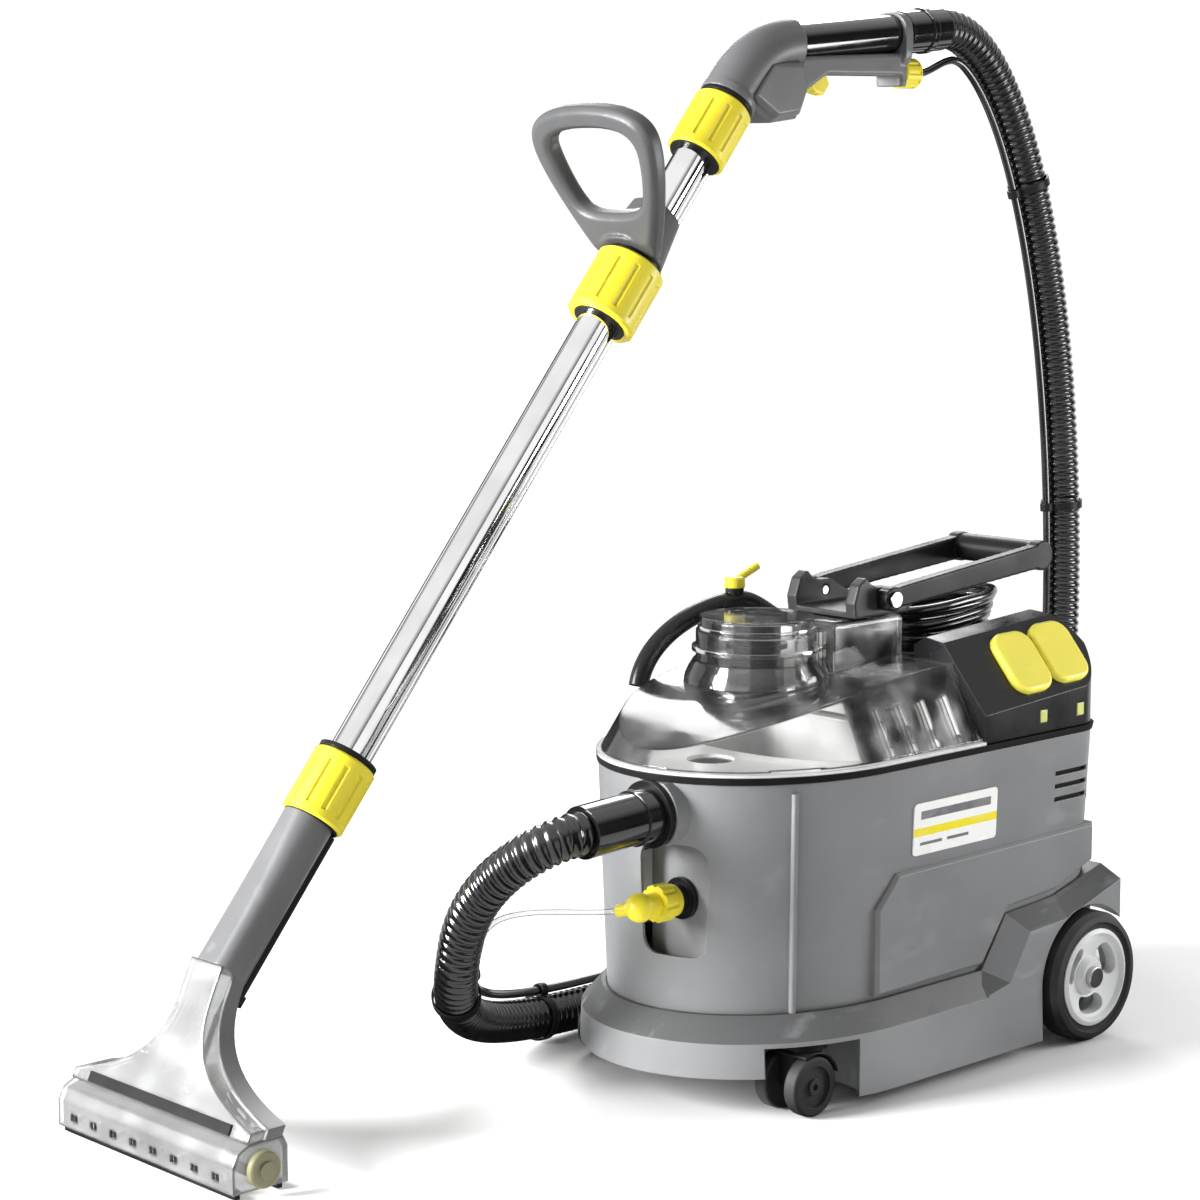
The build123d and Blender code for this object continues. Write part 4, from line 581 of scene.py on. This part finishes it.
def power_cord():
    """Mains cord wound by hand into a long hank: lanes side by side, layer on layer."""
    low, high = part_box("power_cord")
    middle = (np.array(low) + np.array(high)) / 2
    thick, lanes, layers = 4.2 * MM, 2, 7
    apart = 2.2                 # centre distance of two lanes, in cord radii
    corner = 2.6                # exponent that squares the loops off
    turns = lanes * layers
    t = np.linspace(0, turns, turns * 90)
    lane = 0.5 - 0.5 * np.cos(pi * t / layers)
    layer = np.abs((t / layers + 1) % 2 - 1)
    angle = 2 * pi * t
    slack_w = 1.6 * MM * np.sin(angle * 0.31)
    slack_l = 2.4 * MM * np.sin(angle * 0.17 + 1)
    half_w = (high.x - low.x) / 2 - thick - (1 - lane) * apart * thick + slack_w
    half_l = (high.y - low.y) / 2 - thick - (1 - lane) * apart * thick + slack_l - 3 * MM
    squared = 1 / (np.abs(np.cos(angle)) ** corner + np.abs(np.sin(angle)) ** corner) ** (1 / corner)
    x = middle[0] + half_w * np.cos(angle) * squared
    y = middle[1] + half_l * np.sin(angle) * squared
    rise = high.z - low.z - 2 * thick - 10 * MM
    z = low.z + thick + 5 * MM + rise * layer + 0.07 * (y - middle[1]) + 1.5 * MM * np.sin(angle * 0.5 + 2)
    line = np.stack([x, y, z], axis=1)
    return swept("power_cord_hank", line, 5 * MM, lambda place, angles: np.full_like(angles, thick), 12,
                 hose_rubber)


# ---------------------------------------------------------------- studio
SKY_LIGHT = 0.36                # strength of the soft light from all round; the camera itself sees white
CARDS = 4.0                     # number of tall bright cards round the object, seen only in shiny surfaces
CARD_TOP = 0.42                 # sine of the elevation where the cards end
FLOOR_HALF = 14
FLOOR_DROP = 0.0005             # gap that keeps the floor clear of the object's lowest faces
LIGHT_TARGET = (-0.2, -0.05, 0.35)
LIGHTS = (                      # name, place, width of the square and power
    ("key", (-1.3, -3.0, 1.3), 1.4, 370),
    ("side", (0.80, 1.00, 0.50), 0.5, 10),
    ("back", (-2.4, 2.2, 2.2), 1.6, 60),
)
CAMERA_PLACE = (1.78166, -1.96614, 0.80120)
CAMERA_AIM = (-0.6844, 0.3659, 0.3000)
LENS, SENSOR = 90, 36


def cards(t, direction):
    """Brightness that shiny surfaces find along a direction: tall cards low down, a soft roof overhead."""
    x, y, z = t.add("ShaderNodeSeparateXYZ", {0: direction}).outputs
    wave = t.math("SINE", t.math("ADD", t.math("MULTIPLY", t.math("ARCTAN2", y, x), CARDS), 0.9))
    tall = t.math("MINIMUM", t.math("MAXIMUM", t.math("MULTIPLY", wave, 4.0), 0.02), 1.1)
    roof = t.remap(z, CARD_TOP, CARD_TOP + 0.25, 0.0, 1.0)
    return t.math("ADD", t.math("MULTIPLY", tall, t.math("LESS_THAN", z, CARD_TOP)), roof)


def studio_world():
    """White to the camera, soft light to matt surfaces, tall dark and bright cards to shiny ones."""
    world = bpy.data.worlds.new("studio")
    world.use_nodes = True
    t = Tree("", owner=world)
    rays = t.add("ShaderNodeLightPath").outputs
    direction = t.add("ShaderNodeTexCoord").outputs["Generated"]
    plain = t.remap(rays["Is Camera Ray"], 0.0, 1.0, SKY_LIGHT, WHITE)
    glossy = rays["Is Glossy Ray"]
    level = t.math("ADD", t.math("MULTIPLY", plain, t.math("SUBTRACT", 1.0, glossy)),
                   t.math("MULTIPLY", cards(t, direction), glossy))
    light = t.add("ShaderNodeBackground", {"Color": (1.0, 1.0, 1.0), "Strength": level}).outputs[0]
    t.add("ShaderNodeOutputWorld", {"Surface": light})
    return world


def floor_material():
    """Pale matt floor that fades to plain white away from the object, and shows the cards in reflections."""
    t = Tree("floor_pale")
    base = t.mix(t.noise(3.0), (0.88, 0.88, 0.88), (0.91, 0.91, 0.91))
    matt = t.add("ShaderNodeBsdfPrincipled", {"Base Color": base, "Roughness": 0.8}).outputs[0]
    distance = t.add("ShaderNodeVectorMath", {0: t.coords}, operation="LENGTH").outputs["Value"]
    white = t.add("ShaderNodeEmission", {"Strength": WHITE}).outputs[0]
    far = t.add("ShaderNodeMixShader", {0: t.remap(distance, 0.7, 2.2), 1: matt, 2: white}).outputs[0]
    mirrored = t.math("MULTIPLY", cards(t, t.coords), 0.9)
    seen = t.add("ShaderNodeEmission", {"Strength": mirrored}).outputs[0]
    glossy = t.add("ShaderNodeLightPath").outputs["Is Glossy Ray"]
    return t.finish(t.add("ShaderNodeMixShader", {0: glossy, 1: far, 2: seen}).outputs[0])


def studio():
    """Floor, surroundings and the three soft lights."""
    scene = bpy.context.scene
    corners = [(x * FLOOR_HALF, y * FLOOR_HALF, 0) for x, y in ((-1, -1), (1, -1), (1, 1), (-1, 1))]
    floor = new_mesh("floor", corners, [(0, 1, 2, 3)], floor_material(), smooth=False)
    floor.location.z = -FLOOR_DROP
    scene.world = studio_world()
    target = Vector(LIGHT_TARGET)
    for name, place, size, power in LIGHTS:
        light = bpy.data.lights.new(name, "AREA")
        light.size = size
        light.energy = power
        stand = bpy.data.objects.new(name, light)
        stand.location = place
        stand.rotation_euler = (target - Vector(place)).to_track_quat("-Z", "Y").to_euler()
        stand.visible_camera = False
        scene.collection.objects.link(stand)
    scene.view_settings.view_transform = "Standard"


def camera():
    """Camera at the photograph's viewing angle."""
    data = bpy.data.cameras.new("camera")
    data.lens = LENS
    data.sensor_width = SENSOR
    made = bpy.data.objects.new("camera", data)
    made.location = CAMERA_PLACE
    aim = Vector(CAMERA_AIM) - made.location
    made.rotation_euler = aim.to_track_quat("-Z", "Y").to_euler()
    bpy.context.scene.collection.objects.link(made)
    bpy.context.scene.camera = made


# ---------------------------------------------------------------- build
dress_cad_nodes()
for name, voxel, passes in (    # node, voxel in mm, smoothing passes
    ("d_handle", 1.1, 22), ("grip_body", 1.0, 8), ("grip_elbow", 1.0, 6), ("trigger", 0.6, 6),
    ("carry_handle", 1.0, 8), ("handle_bracket", 0.9, 6), ("bleed_valve_lever", 0.5, 5),
    ("button_pump", 0.9, 6), ("button_vacuum", 0.9, 6), ("outlet_coupling", 0.7, 4),
    ("caster_fork_right", 0.8, 5), ("caster_fork_left", 0.8, 5),
):
    softened(name, voxel, passes)
lid_details()
vent_shade_sheets()
for build, node, slot in (
    (suction_hose, "suction_hose", "hose_rubber"),
    (solution_hose, "solution_hose", "hose_rubber"),
    (bound_clips, "hose_clips", "black_plastic"),
):
    piece = build()
    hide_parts(node)
    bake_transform(piece)
cord = power_cord()
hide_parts("power_cord")
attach(cord, "machine")
studio()
camera()
